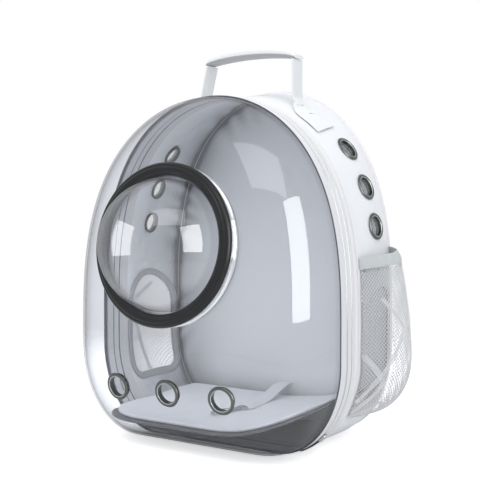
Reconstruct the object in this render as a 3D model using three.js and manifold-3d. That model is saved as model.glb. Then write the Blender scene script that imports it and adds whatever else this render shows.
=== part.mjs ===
// Bubble pet carrier backpack. Millimetres, +Z up, the clear front faces -Y and +X is to its right
// as seen from the front. The base lies on z = 0 and the origin is the middle of the base.
// Inside this file y = 0 is the plane where the clear front shell meets the cloth body.
import * as THREE from 'three';
import { mergeVertices } from 'three/addons/utils/BufferGeometryUtils.js';
import Module from 'manifold-3d';

const wasm = await Module();
wasm.setup();

// Fit between neighbours
const GAP = 0.3;

// Body outline seen from the front: a flat base, two corners and one arch
const BODY_HALF_WIDTH = 172;
const FLAT_HALF_WIDTH = 88;
const CORNER_RISE = 110;
const SIDE_STRAIGHT = 30;
const RIM_HEIGHT = 420;
const BACK_HEIGHT = 437;
const SIDE_BULGE = 9;
const SIDE_BULGE_POWER = 1.3;
const SIDE_TAPER = 7;
const WALL_STEPS = 3;
const SHOULDER_POWER = 2.85;
const FLAT_STEPS = 2;
const CORNER_STEPS = 6;
const SHOULDER_STEPS = 10;

// Bands round the body, front to back
const BINDING_LIP = 4;
const BINDING_WIDTH = 11;
const BINDING_THICKNESS = 1.5;
const BAND_THICKNESS = 3;
const ZIP_WIDTH = 2;
const ZIP_RECESS = 0.8;
const ZIP_BAND_WIDTH = 9;
const REAR_ZIP_WIDTH = 1.6;
const NARROW_BAND_WIDTH = 6;
const PIPING_WIDTH = 9.5;
const PIPING_PROUD = 1.5;

// Side wall and back
const WALL_DEPTH = 106;
const WALL_THICKNESS = 2.5;
const BACK_PIPING_WIDTH = 6;
const BACK_PIPING_PROUD = 2;
const BACK_PANEL_THICKNESS = 3;

// Clear front shell
const SHELL_DEPTH = 102;
const SHELL_THICKNESS = 2;
const SHELL_LEAN = 0.053;
const SHELL_CENTRE_UP = 170;
const SHELL_EDGE_POWER = 3.7;
const SHELL_FACE_POWER = 2.5;
const SHELL_STEPS = 8;

// Dome, its rubber ring and the neck that carries both
const DOME_RADIUS = 76.7;
const DOME_HEIGHT = 67.4;
const DOME_THICKNESS = 2;
const DOME_FLANGE = 8.5;
const DOME_STEPS = 6;
const RING_WIDTH = 15.7;
const RING_SECTION = 12.4;
const RING_UP = 246;
const RING_FORWARD = 106;
const RING_TILT = 7.5;
const NECK_THICKNESS = 2;

// Metal eyelets
const EYELET_RADIUS = 16.3;
const EYELET_BORE = 12;
const EYELET_PROUD = 2;
const EYELET_SEAT = 2.8;
const EYELET_SIDES = 12;
const EYELET_LIP = 1;
const FRONT_EYELET_UP = 77.6;
const FRONT_EYELET_SPACING = 72.5;
const SIDE_EYELET_BACK = 90;
const SIDE_EYELET_CLEARANCE = 9.1;
const SIDE_EYELET_DROPS = [0, 46, 92.7];
const EYELET_NET_THICKNESS = 0.8;

// Arched net windows in the side walls
const WINDOW_FRONT = 50;
const WINDOW_BACK = 138;
const WINDOW_LOW = 58;
const WINDOW_TOP = 192;
const WINDOW_CORNER = 16;
const WINDOW_HEM = 7;
const NET_THICKNESS = 1;

// Floor board and mat
const BOARD_UP = 28;
const BOARD_THICKNESS = 3;
const BOARD_CLEARANCE = 4.5;
const MAT_THICKNESS = 5;
const MAT_MARGIN = 6;
const MAT_BACK_MARGIN = 8;
const BOARD_STEPS = 8;
const CURL_RISE = 34;
const CURL_START = 25;
const CURL_POWER = 2;

// Tether
const TETHER_WIDTH = 19;
const TETHER_THICKNESS = 1.6;
const TETHER_LENGTH_OUT = 108;
const TETHER_RISE = 13;
const TETHER_AT = 17;
const TETHER_SWAY = 4;
const HOOK_WIRE = 3;
const HOOK_LENGTH = 46;
const HOOK_SWING = 17;
const HOOK_WIDTH = 13;

// Top handle
const HANDLE_HALF_SPAN = 68;
const HANDLE_LEAN = 5;
const HANDLE_SWAY = 4.8;
const HANDLE_BACK = 82;
const HANDLE_STRAP_WIDTH = 25;
const HANDLE_STRAP_THICKNESS = 2.6;
const HANDLE_HEIGHT = 44;
const GRIP_THICKNESS = 12;
const GRIP_ARCH = 5;
const GRIP_WIDTH = 27;
const HANDLE_SEAT = 2.1;
const PATCH_START = 8;
const PATCH_LENGTH = 34;
const PATCH_FLARE = 22;

// Side pockets
const POCKET_FRONT = 44;
const POCKET_BACK = 145;
const POCKET_LOW_FRONT = 38;
const POCKET_LOW_BACK = 36;
const POCKET_TOP_FRONT = 215;
const POCKET_TOP_BACK = 224;
const POCKET_BULGE = 31;
const POCKET_STEPS = 8;
const POCKET_NET = 1.2;
const HEM_HEIGHT = 13;
const HEM_THICKNESS = 2;

// Shoulder straps
const STRAP_AT = 62;
const STRAP_WIDTH = 58;
const STRAP_THICKNESS = 9;
const STRAP_TOP = 388;
const STRAP_LOW = 128;
const STRAP_BOW = 34;
const STRAP_STEPS = 10;
const WEBBING_WIDTH = 25;
const WEBBING_THICKNESS = 2;
const WEBBING_LOW = 22;
const BUCKLE_WIDTH = 34;
const BUCKLE_HEIGHT = 26;
const BUCKLE_THICKNESS = 5;

// Zip slider and pull; the slider's place is an angle round the lower corner
const SLIDER_AT = 38;
const SLIDER_LENGTH = 12;
const SLIDER_WIDTH = 8;
const SLIDER_THICKNESS = 3.5;
const PULL_LENGTH = 30;
const PULL_WIDTH = 6;
const PULL_THICKNESS = 2;

// Places that follow from the sizes above
const SHOULDER_START = CORNER_RISE + SIDE_STRAIGHT;
const ZIP_FRONT = BINDING_WIDTH + GAP;
const ZIP_BAND_FRONT = ZIP_FRONT + ZIP_WIDTH + GAP;
const REAR_ZIP_FRONT = ZIP_BAND_FRONT + ZIP_BAND_WIDTH + GAP;
const NARROW_BAND_FRONT = REAR_ZIP_FRONT + REAR_ZIP_WIDTH + GAP;
const PIPING_FRONT = NARROW_BAND_FRONT + NARROW_BAND_WIDTH + GAP;
const WALL_FRONT = PIPING_FRONT + PIPING_WIDTH + GAP;
const WALL_BACK = WALL_FRONT + WALL_DEPTH;
const BACK_PIPING_FRONT = WALL_BACK + GAP;
const BACK_FACE = BACK_PIPING_FRONT + BACK_PANEL_THICKNESS;
const SHELL_INSET = BINDING_THICKNESS + GAP;
const BASE_MIDDLE = (WALL_FRONT + WALL_BACK) / 2;

// Finishes
const paint = (color, roughness, metalness = 0) =>
  new THREE.MeshStandardMaterial({ color, roughness, metalness });
const LEATHER = paint(0xeceeef, 0.5);
const BINDING_CLOTH = paint(0xe6e4e9, 0.6);
const ZIP_CLOTH = paint(0x77737d, 0.7);
const NET = paint(0xf4f5f6, 0.8);
const CLEAR_SMOKE = new THREE.MeshStandardMaterial({
  color: 0x9aa0a8, roughness: 0.08, transparent: true, opacity: 0.35
});
const RUBBER = paint(0x111214, 0.3);
const GUNMETAL = paint(0x4b4a46, 0.3, 0.9);
const STEEL = paint(0xb9bcc0, 0.25, 1);
const GREY_CLOTH = paint(0x8c9096, 0.85);
const PALE_CLOTH = paint(0xf1f2f4, 0.85);
const DARK_NET = paint(0x3a3c40, 0.8);
const BLACK_PLASTIC = paint(0x2a2b2e, 0.5);

const pack = new THREE.Group();
const body = new THREE.Group();
body.position.y = -BASE_MIDDLE;
pack.add(body);

// A body needs shared vertices, no flat triangles and faces that point out
function tidy(source) {
  const geometry = source.index ? source : mergeVertices(source);
  geometry.deleteAttribute('normal');
  geometry.deleteAttribute('uv');
  const merged = mergeVertices(geometry, 1e-4);
  const from = Array.from(merged.index.array);
  const kept = [];
  for (let i = 0; i < from.length; i += 3) {
    const [a, b, c] = from.slice(i, i + 3);
    if (a !== b && b !== c && c !== a) kept.push(a, b, c);
  }
  if (enclosedVolume(merged.attributes.position, kept) < 0) {
    for (let i = 0; i < kept.length; i += 3) [kept[i], kept[i + 1]] = [kept[i + 1], kept[i]];
  }
  merged.setIndex(kept);
  return merged;
}

function enclosedVolume(position, index) {
  const a = new THREE.Vector3();
  const b = new THREE.Vector3();
  const c = new THREE.Vector3();
  let total = 0;
  for (let i = 0; i < index.length; i += 3) {
    a.fromBufferAttribute(position, index[i]);
    b.fromBufferAttribute(position, index[i + 1]);
    c.fromBufferAttribute(position, index[i + 2]);
    total += a.dot(b.cross(c)) / 6;
  }
  return total;
}

function toSolid(geometry) {
  const clean = tidy(geometry);
  return new wasm.Manifold(new wasm.Mesh({
    numProp: 3,
    vertProperties: new Float32Array(clean.attributes.position.array),
    triVerts: new Uint32Array(clean.index.array)
  }));
}

function toGeometry(solid) {
  const mesh = solid.getMesh();
  const geometry = new THREE.BufferGeometry();
  geometry.setAttribute('position', new THREE.BufferAttribute(mesh.vertProperties, 3));
  geometry.setIndex(Array.from(mesh.triVerts));
  return geometry;
}

function add(name, geometry, material, parent = body) {
  const clean = tidy(geometry);
  clean.computeVertexNormals();
  const mesh = new THREE.Mesh(clean, material);
  mesh.name = name;
  parent.add(mesh);
  return mesh;
}

// Loops of equal length joined side by side; the ends close with a fan, or the last loop meets the first
function skin(loops, { ring = false, pole = null } = {}) {
  const count = loops[0].length;
  const points = loops.flat();
  const index = [];
  const bands = ring ? loops.length : loops.length - 1;
  for (let k = 0; k < bands; k++) {
    const next = (k + 1) % loops.length;
    for (let i = 0; i < count; i++) {
      const j = (i + 1) % count;
      const corner = [k * count + i, k * count + j, next * count + j, next * count + i];
      index.push(corner[0], corner[1], corner[2], corner[0], corner[2], corner[3]);
    }
  }
  const fan = (k, centre, flip) => {
    points.push(centre);
    for (let i = 0; i < count; i++) {
      const edge = [k * count + i, k * count + (i + 1) % count];
      if (flip) edge.reverse();
      index.push(points.length - 1, edge[1], edge[0]);
    }
  };
  const middle = loop => loop.reduce((sum, p) => sum.add(p), new THREE.Vector3()).divideScalar(count);
  if (!ring) {
    fan(0, pole ? pole[0] : middle(loops[0]), false);
    fan(loops.length - 1, pole ? pole[1] : middle(loops.at(-1)), true);
  }
  const geometry = new THREE.BufferGeometry().setFromPoints(points);
  geometry.setIndex(index);
  return geometry;
}

// Half width of the body at a height, for an arch of a given height and half width
function halfWidthAt(up, height, halfWidth) {
  if (up >= height) return 0;
  if (up >= SHOULDER_START) {
    const share = (up - SHOULDER_START) / (height - SHOULDER_START);
    return halfWidth * Math.sqrt(1 - share ** SHOULDER_POWER);
  }
  if (up >= CORNER_RISE) return halfWidth;
  const drop = (CORNER_RISE - Math.max(up, 0)) / CORNER_RISE;
  return FLAT_HALF_WIDTH + (halfWidth - FLAT_HALF_WIDTH) * Math.sqrt(1 - drop ** 2);
}

// The arch rises towards the back and the sides belly out a little half way
const wallShare = y => THREE.MathUtils.clamp((y - WALL_FRONT) / WALL_DEPTH, 0, 1);
const heightAt = y => RIM_HEIGHT + (BACK_HEIGHT - RIM_HEIGHT) * wallShare(y);
const widthAt = y =>
  BODY_HALF_WIDTH + SIDE_BULGE * Math.sin(Math.PI * wallShare(y) ** SIDE_BULGE_POWER) - SIDE_TAPER * wallShare(y) ** 2;

function outlineAt(y) {
  const height = heightAt(y);
  const halfWidth = widthAt(y);
  const half = [];
  for (let i = 0; i < FLAT_STEPS; i++) half.push([FLAT_HALF_WIDTH * i / FLAT_STEPS, 0]);
  for (let i = 0; i <= CORNER_STEPS; i++) {
    const turn = Math.PI / 2 * i / CORNER_STEPS;
    const out = (halfWidth - FLAT_HALF_WIDTH) * Math.sin(turn);
    half.push([FLAT_HALF_WIDTH + out, CORNER_RISE * (1 - Math.cos(turn))]);
  }
  for (let i = 0; i < SHOULDER_STEPS; i++) {
    const turn = Math.PI / 2 * i / SHOULDER_STEPS;
    const rise = (height - SHOULDER_START) * Math.sin(turn) ** (2 / SHOULDER_POWER);
    half.push([halfWidth * Math.cos(turn), SHOULDER_START + rise]);
  }
  half.push([0, height]);
  const mirror = half.slice(1, -1).reverse().map(([x, z]) => [-x, z]);
  return [...half, ...mirror].map(([x, z]) => new THREE.Vector2(x, z));
}

// Each side of the outline moves out by the same distance; cloth that bulges past the base lies flat on it
function offset(outline, out) {
  return outline.map((point, i) => {
    const before = outline.at(i - 1);
    const after = outline[(i + 1) % outline.length];
    const normalOf = (a, b) => new THREE.Vector2(b.y - a.y, a.x - b.x).normalize();
    const n1 = normalOf(before, point);
    const n2 = normalOf(point, after);
    const move = n1.clone().add(n2).multiplyScalar(out / (1 + n1.dot(n2)));
    const moved = point.clone().add(move);
    if (out > 0) moved.y = Math.max(moved.y, 0);
    return moved;
  });
}

const at = (y, out) => offset(outlineAt(y), out).map(p => new THREE.Vector3(p.x, y, p.y));

// A band round the body: its section is a list of [depth, distance out]
const band = section => skin(section.map(([y, out]) => at(y, out)), { ring: true });
const flatBand = (front, width, recess) => band([
  [front, -recess], [front + width, -recess],
  [front + width, -BAND_THICKNESS], [front, -BAND_THICKNESS]
]);

// Depth of the clear shell in front of y = 0, above a place on its plan; inset is measured inwards
function shellBoundary(inset) {
  const outline = offset(outlineAt(0), -SHELL_INSET - inset);
  const centre = new THREE.Vector2(0, SHELL_CENTRE_UP);
  return { outline, centre };
}

function shellForward(share, up, inset) {
  const above = up - SHELL_CENTRE_UP;
  const soften = 60;
  const lean = SHELL_LEAN * (Math.hypot(above, soften) + above) / 2;
  const full = SHELL_DEPTH - lean - inset;
  return full * (1 - Math.min(share, 1) ** SHELL_EDGE_POWER) ** (1 / SHELL_FACE_POWER);
}

function shellDepthAt(x, up, inset = 0) {
  const { outline, centre } = shellBoundary(inset);
  const ray = new THREE.Vector2(x, up).sub(centre);
  let reach = 0;
  outline.forEach((a, i) => {
    const b = outline[(i + 1) % outline.length];
    const edge = b.clone().sub(a);
    const from = a.clone().sub(centre);
    const cross = ray.cross(edge);
    if (Math.abs(cross) < 1e-9) return;
    const along = from.cross(edge) / cross;
    const onEdge = from.cross(ray) / cross;
    if (along > 0 && onEdge >= 0 && onEdge <= 1) reach = Math.max(reach, 1 / along);
  });
  return shellForward(reach, up, inset);
}

function shellLayer(inset) {
  const { outline, centre } = shellBoundary(inset);
  const loops = [];
  for (let k = 0; k < SHELL_STEPS; k++) {
    const turn = Math.PI / 2 * k / SHELL_STEPS;
    const share = Math.cos(turn) ** (2 / SHELL_EDGE_POWER);
    loops.push(outline.map(point => {
      const place = point.clone().sub(centre).multiplyScalar(share).add(centre);
      return new THREE.Vector3(place.x, -shellForward(share, place.y, inset), place.y);
    }));
  }
  return loops;
}

const shellTip = inset => new THREE.Vector3(0, -shellForward(0, SHELL_CENTRE_UP, inset), SHELL_CENTRE_UP);

function shellNormal(x, up) {
  const step = 4;
  const slopeX = (shellDepthAt(x + step, up) - shellDepthAt(x - step, up)) / (2 * step);
  const slopeUp = (shellDepthAt(x, up + step) - shellDepthAt(x, up - step)) / (2 * step);
  return new THREE.Vector3(-slopeX, -1, -slopeUp).normalize();
}

// Turned shapes stand on a place with their axis along a direction
function turned(profile, segments) {
  const points = profile.map(([r, h]) => new THREE.Vector2(r, h));
  points.push(points[0].clone());
  return new THREE.LatheGeometry(points, segments).rotateX(Math.PI / 2);
}

function pose(place, direction) {
  const turn = new THREE.Quaternion().setFromUnitVectors(new THREE.Vector3(0, 0, 1), direction);
  return new THREE.Matrix4().compose(place, turn, new THREE.Vector3(1, 1, 1));
}

const plug = (radius, from, to, segments, matrix) => toSolid(
  new THREE.CylinderGeometry(radius, radius, to - from, segments)
    .rotateX(Math.PI / 2).translate(0, 0, (from + to) / 2).applyMatrix4(matrix)
);

// Clear front shell with the neck of the dome and three holes
const ringTilt = THREE.MathUtils.degToRad(RING_TILT);
const ringAxis = new THREE.Vector3(0, -Math.cos(ringTilt), Math.sin(ringTilt));
const ringPose = pose(new THREE.Vector3(0, -RING_FORWARD, RING_UP), ringAxis);
const ringInner = DOME_RADIUS + GAP;
const ringMiddle = ringInner + RING_WIDTH / 2;
const neckInner = ringInner + RING_WIDTH - RING_SECTION / 2;
const neckOuter = neckInner + NECK_THICKNESS;
const neckTop = -RING_SECTION / 2 - GAP;
const neckReach = 60;
const HOLE_RADIUS = EYELET_BORE + EYELET_LIP + GAP;
const frontEyelets = [-1, 0, 1].map(side => {
  const x = side * FRONT_EYELET_SPACING;
  const place = new THREE.Vector3(x, -shellDepthAt(x, FRONT_EYELET_UP), FRONT_EYELET_UP);
  return pose(place, shellNormal(x, FRONT_EYELET_UP));
});

function frontShell() {
  const outer = shellLayer(0);
  const inner = shellLayer(SHELL_THICKNESS);
  const outerLoops = [...outer].reverse();
  const wall = skin([...outerLoops, ...inner], { pole: [shellTip(0), shellTip(SHELL_THICKNESS)] });
  const hollow = skin([at(1, -SHELL_INSET - SHELL_THICKNESS), ...inner], {
    pole: [new THREE.Vector3(0, 1, SHELL_CENTRE_UP), shellTip(SHELL_THICKNESS)]
  });
  const collar = plug(neckOuter, -neckReach, neckTop, 30, ringPose).subtract(toSolid(hollow));
  const bore = plug(neckInner, -neckReach, neckReach, 30, ringPose);
  let solid = toSolid(wall).add(collar).subtract(bore);
  for (const eyelet of frontEyelets) solid = solid.subtract(plug(HOLE_RADIUS, -8, 8, EYELET_SIDES, eyelet));
  return toGeometry(solid);
}
add('front_shell', frontShell(), CLEAR_SMOKE);

// Dome and ring
function domeProfile() {
  const sphere = (DOME_RADIUS ** 2 + DOME_HEIGHT ** 2) / (2 * DOME_HEIGHT);
  const centre = DOME_HEIGHT - sphere;
  const inner = Math.sqrt((sphere - DOME_THICKNESS) ** 2 - centre ** 2);
  const flangeTop = neckTop;
  const flangeLow = flangeTop - DOME_THICKNESS;
  const profile = [[inner, flangeLow], [DOME_RADIUS + DOME_FLANGE, flangeLow]];
  profile.push([DOME_RADIUS + DOME_FLANGE, flangeTop], [DOME_RADIUS, flangeTop]);
  const arc = (radius, i) => {
    const start = Math.asin(-centre / radius);
    const turn = start + (Math.PI / 2 - start) * i / DOME_STEPS;
    return [i === DOME_STEPS ? 0 : radius * Math.cos(turn), centre + radius * Math.sin(turn)];
  };
  for (let i = 0; i <= DOME_STEPS; i++) profile.push(arc(sphere, i));
  for (let i = DOME_STEPS; i >= 0; i--) profile.push(arc(sphere - DOME_THICKNESS, i));
  return profile;
}
const bubble = new THREE.Group();
bubble.applyMatrix4(ringPose);
body.add(bubble);
add('bubble_dome', turned(domeProfile(), 24), CLEAR_SMOKE, bubble);

function ringProfile() {
  const sides = 8;
  const profile = [];
  for (let i = 0; i < sides; i++) {
    const turn = 2 * Math.PI * (i + 0.5) / sides;
    profile.push([ringMiddle + RING_WIDTH / 2 * Math.cos(turn), RING_SECTION / 2 * Math.sin(turn)]);
  }
  return profile;
}
add('bubble_ring', turned(ringProfile(), 30), RUBBER, bubble);

// Metal eyelets: a domed flange outside, a barrel through the hole and a washer inside
function eyeletProfile(wall) {
  const barrel = EYELET_BORE + EYELET_LIP;
  const inside = -wall - EYELET_SEAT;
  return [
    [EYELET_BORE, inside - EYELET_LIP], [EYELET_BORE, EYELET_PROUD],
    [EYELET_RADIUS - EYELET_PROUD, EYELET_PROUD], [EYELET_RADIUS, GAP],
    [barrel, GAP], [barrel, inside], [EYELET_RADIUS - 2, inside], [EYELET_RADIUS - 2, inside - EYELET_LIP]
  ];
}

function eyelet(name, matrix, wall, withNet) {
  const holder = new THREE.Group();
  holder.applyMatrix4(matrix);
  body.add(holder);
  add(name, turned(eyeletProfile(wall), EYELET_SIDES), GUNMETAL, holder);
  if (!withNet) return;
  const net = new THREE.CylinderGeometry(EYELET_BORE - GAP, EYELET_BORE - GAP, EYELET_NET_THICKNESS, EYELET_SIDES);
  add(name.replace('eyelet', 'eyelet_net'), net.rotateX(Math.PI / 2).translate(0, 0, -wall), DARK_NET, holder);
}
const frontNames = ['left', 'middle', 'right'];
frontEyelets.forEach((matrix, i) => eyelet(`front_eyelet_${frontNames[i]}`, matrix, SHELL_THICKNESS, false));

const sideX = (y, up) => halfWidthAt(up, heightAt(y), widthAt(y));
function sideNormal(y, up) {
  const step = 2;
  const slopeUp = (sideX(y, up + step) - sideX(y, up - step)) / (2 * step);
  const slopeBack = (sideX(y + step, up) - sideX(y - step, up)) / (2 * step);
  return new THREE.Vector3(1, -slopeBack, -slopeUp).normalize();
}
const sideNames = [['left', -1], ['right', 1]];
const patchEnd = HANDLE_HALF_SPAN + PATCH_START + PATCH_LENGTH;
const firstEyeletUp = archHeightAt(patchEnd, HANDLE_BACK) - EYELET_RADIUS - SIDE_EYELET_CLEARANCE;
const sideEyelets = sideNames.flatMap(([name, side]) => SIDE_EYELET_DROPS.map((drop, i) => {
  const up = firstEyeletUp - drop;
  const place = new THREE.Vector3(side * sideX(SIDE_EYELET_BACK, up), SIDE_EYELET_BACK, up);
  const normal = sideNormal(SIDE_EYELET_BACK, up);
  normal.x *= side;
  return { name: `side_eyelet_${name}_${i + 1}`, matrix: pose(place, normal) };
}));
for (const { name, matrix } of sideEyelets) eyelet(name, matrix, WALL_THICKNESS, true);

// Bands between the clear shell and the side wall
add('shell_binding', band([
  [-BINDING_LIP, 0], [BINDING_WIDTH, 0], [BINDING_WIDTH, -SHELL_INSET - SHELL_THICKNESS],
  [GAP, -SHELL_INSET - SHELL_THICKNESS], [GAP, -BINDING_THICKNESS], [-BINDING_LIP, -BINDING_THICKNESS]
]), BINDING_CLOTH);
add('front_zip', flatBand(ZIP_FRONT, ZIP_WIDTH, ZIP_RECESS), ZIP_CLOTH);
add('zip_band', flatBand(ZIP_BAND_FRONT, ZIP_BAND_WIDTH, 0), BINDING_CLOTH);
add('rear_zip', flatBand(REAR_ZIP_FRONT, REAR_ZIP_WIDTH, ZIP_RECESS), ZIP_CLOTH);
add('narrow_band', flatBand(NARROW_BAND_FRONT, NARROW_BAND_WIDTH, 0), BINDING_CLOTH);
const pipingEnd = PIPING_FRONT + PIPING_WIDTH;
const pipingTurn = PIPING_WIDTH / 4;
add('front_piping', band([
  [PIPING_FRONT, 0], [PIPING_FRONT + pipingTurn, PIPING_PROUD], [pipingEnd - pipingTurn, PIPING_PROUD],
  [pipingEnd, 0], [pipingEnd, -BAND_THICKNESS], [PIPING_FRONT, -BAND_THICKNESS]
]), LEATHER);

// Side wall with its eyelet holes and arched windows
function archShape(margin) {
  const shape = new THREE.Shape();
  const front = WINDOW_FRONT - margin;
  const back = WINDOW_BACK + margin;
  const low = WINDOW_LOW - margin;
  const radius = (back - front) / 2;
  const spring = WINDOW_TOP + margin - radius;
  const corner = WINDOW_CORNER + margin;
  shape.moveTo(front + corner, low);
  shape.lineTo(back - corner, low);
  shape.quadraticCurveTo(back, low, back, low + corner);
  shape.lineTo(back, spring);
  shape.absarc((front + back) / 2, spring, radius, 0, Math.PI, false);
  shape.lineTo(front, low + corner);
  shape.quadraticCurveTo(front, low, front + corner, low);
  return shape;
}

// The arch is drawn on depth and height and pushed sideways through the wall
function archPlug(side, margin) {
  const reach = BODY_HALF_WIDTH;
  const geometry = new THREE.ExtrudeGeometry(archShape(margin), {
    depth: reach, bevelEnabled: false, curveSegments: 8
  });
  const toSide = new THREE.Matrix4().makeBasis(
    new THREE.Vector3(0, 1, 0), new THREE.Vector3(0, 0, 1), new THREE.Vector3(1, 0, 0));
  geometry.applyMatrix4(toSide).translate(side > 0 ? FLAT_HALF_WIDTH : -FLAT_HALF_WIDTH - reach, 0, 0);
  return toSolid(geometry);
}

function wallRing(outer, thickness) {
  const depths = Array.from({ length: WALL_STEPS + 1 }, (_, i) => WALL_FRONT + WALL_DEPTH * i / WALL_STEPS);
  return band([
    ...depths.map(y => [y, -outer]), ...depths.reverse().map(y => [y, -outer - thickness])
  ]);
}

let wall = toSolid(wallRing(0, WALL_THICKNESS));
for (const { matrix } of sideEyelets) wall = wall.subtract(plug(HOLE_RADIUS, -12, 12, EYELET_SIDES, matrix));
for (const [, side] of sideNames) wall = wall.subtract(archPlug(side, 0));
add('side_wall', toGeometry(wall), LEATHER);
for (const [name, side] of sideNames) {
  const net = toSolid(wallRing(WALL_THICKNESS + 2 * GAP, NET_THICKNESS)).intersect(archPlug(side, WINDOW_HEM));
  add(`window_net_${name}`, toGeometry(net), NET);
}

// Back panel and its piping
const backEnd = BACK_PIPING_FRONT + BACK_PIPING_WIDTH;
add('back_piping', band([
  [BACK_PIPING_FRONT, 0], [BACK_PIPING_FRONT + BACK_PIPING_WIDTH * 0.3, BACK_PIPING_PROUD],
  [backEnd - BACK_PIPING_WIDTH * 0.3, BACK_PIPING_PROUD], [backEnd, 0],
  [backEnd, -BAND_THICKNESS], [BACK_PIPING_FRONT, -BAND_THICKNESS]
]), LEATHER);
const panelOut = -BAND_THICKNESS - GAP;
add('back_panel', skin([at(BACK_PIPING_FRONT, panelOut), at(BACK_FACE, panelOut)]), LEATHER);

// Floor board wedged in the rounded corners, and the mat on it
const boardTop = BOARD_UP + BOARD_THICKNESS;
const matLow = boardTop + GAP;
const matTop = matLow + MAT_THICKNESS;
const innerOut = SHELL_INSET + SHELL_THICKNESS;
const boardHalf = offsetHalfWidth(BOARD_UP) - GAP;
const boardBack = WALL_BACK - GAP;

// Half width of the room inside the bands and the back of the wall at a height
function offsetHalfWidth(up) {
  return Math.min(halfWidthInside(0, up), halfWidthInside(WALL_BACK, up));
}

function halfWidthInside(y, up) {
  const inner = offset(outlineAt(y), -innerOut).filter(p => p.x > 0);
  for (let i = 0; i < inner.length - 1; i++) {
    const [a, b] = [inner[i], inner[i + 1]];
    if (a.y <= up && b.y > up) return a.x + (b.x - a.x) * (up - a.y) / (b.y - a.y);
  }
  return FLAT_HALF_WIDTH;
}

// The board and mat lie flat on the left and curl up into the right corner
const curlHalf = offsetHalfWidth(BOARD_UP + CURL_RISE) - GAP;
const curl = x => CURL_RISE * Math.max(0, (x - CURL_START) / (curlHalf - CURL_START)) ** CURL_POWER;

function curledSlab(margin, backMargin, low, thickness) {
  const back = boardBack - backMargin;
  const column = (x, front) => {
    const up = low + curl(x);
    return [[front, up], [back, up], [back, up + thickness], [front, up + thickness]]
      .map(([y, z]) => new THREE.Vector3(x, y, z));
  };
  const loops = [column(margin - boardHalf, 0)];
  for (let i = 0; i <= 2 * BOARD_STEPS; i++) {
    const across = -Math.cos(Math.PI * i / (2 * BOARD_STEPS));
    const half = across < 0 ? boardHalf : curlHalf;
    const x = (half - margin - BOARD_CLEARANCE / 2) * across;
    const edge = x * half / (half - margin);
    const room = shellDepthAt(edge, BOARD_UP + curl(edge), SHELL_THICKNESS);
    loops.push(column(x, Math.min(-GAP, -room + BOARD_CLEARANCE + margin)));
  }
  loops.push(column(curlHalf - margin, 0));
  return skin(loops);
}
add('floor_board', curledSlab(0, 0, BOARD_UP, BOARD_THICKNESS), GREY_CLOTH);
add('floor_mat', curledSlab(MAT_MARGIN, MAT_BACK_MARGIN, matLow, MAT_THICKNESS), PALE_CLOTH);

// A flat strap along a path: its width runs along one direction
function strap(path, across, width, thickness) {
  const side = across.clone().normalize();
  const widthAlong = Array.isArray(width) ? width : path.map(() => width);
  const loops = path.map((point, i) => {
    const before = path[Math.max(i - 1, 0)];
    const after = path[Math.min(i + 1, path.length - 1)];
    const along = after.clone().sub(before).normalize();
    const up = side.clone().cross(along).normalize();
    const corner = (s, t) => point.clone()
      .addScaledVector(side, s * widthAlong[i] / 2).addScaledVector(up, t * thickness / 2);
    return [corner(-1, -1), corner(1, -1), corner(1, 1), corner(-1, 1)];
  });
  return skin(loops);
}

// Tether from the back panel down to the mat, and its hook
const tetherUp = matTop + GAP + TETHER_THICKNESS / 2;
const panelFront = BACK_PIPING_FRONT - GAP;
const tetherDrop = [[0, 1], [0.04, 1.02], [0.15, 0.96], [0.3, 0.72], [0.45, 0.38], [0.6, 0.12], [0.75, 0], [1, 0]];
const tetherPath = tetherDrop.map(([out, rise]) =>
  new THREE.Vector3(TETHER_AT + out * TETHER_SWAY, panelFront - out * TETHER_LENGTH_OUT,
    tetherUp + rise * TETHER_RISE));
add('tether_strap', strap(tetherPath, new THREE.Vector3(1, 0, 0), TETHER_WIDTH, TETHER_THICKNESS), PALE_CLOTH);

// A round wire along a flat path
function wire(path, normal, radius, sides, closed) {
  const count = path.length;
  const loops = path.map((point, i) => {
    const before = closed ? path.at(i - 1) : path[Math.max(i - 1, 0)];
    const after = closed ? path[(i + 1) % count] : path[Math.min(i + 1, count - 1)];
    const along = after.clone().sub(before).normalize();
    const side = along.clone().cross(normal);
    return Array.from({ length: sides }, (_, k) => {
      const turn = 2 * Math.PI * k / sides;
      return point.clone().addScaledVector(side, radius * Math.cos(turn))
        .addScaledVector(normal, radius * Math.sin(turn));
    });
  });
  return skin(loops, { ring: closed });
}

function tetherHook() {
  const upward = new THREE.Vector3(0, 0, 1);
  const oval = (centre, halfX, halfY, steps) => Array.from({ length: steps }, (_, i) => {
    const turn = 2 * Math.PI * i / steps;
    return new THREE.Vector3(halfX * Math.cos(turn), centre + halfY * Math.sin(turn), 0);
  });
  const eyeHalf = HOOK_WIDTH / 2 - HOOK_WIRE;
  const eye = wire(oval(-eyeHalf, TETHER_WIDTH / 2 - HOOK_WIRE, eyeHalf, 10), upward, HOOK_WIRE / 2, 6, true);
  const snapHalf = HOOK_LENGTH / 3;
  const stemLow = -2 * eyeHalf - HOOK_LENGTH / 3;
  const snap = wire(oval(stemLow - snapHalf, HOOK_WIDTH / 2, snapHalf, 10), upward, HOOK_WIRE / 2, 6, true);
  const stem = new THREE.CylinderGeometry(HOOK_WIRE * 0.9, HOOK_WIRE * 0.9, HOOK_LENGTH / 3 + HOOK_WIRE, 8)
    .translate(0, (stemLow - 2 * eyeHalf) / 2, 0);
  return toGeometry(toSolid(eye).add(toSolid(stem)).add(toSolid(snap)));
}
const hook = new THREE.Group();
const hookUp = matTop + GAP + HOOK_WIRE * 0.9;
hook.position.set(TETHER_AT + TETHER_SWAY, panelFront - TETHER_LENGTH_OUT - GAP - HOOK_WIRE * 0.75, hookUp);
hook.rotation.z = -HOOK_SWING * Math.PI / 180;
body.add(hook);
add('tether_hook', tetherHook(), STEEL, hook);

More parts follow.
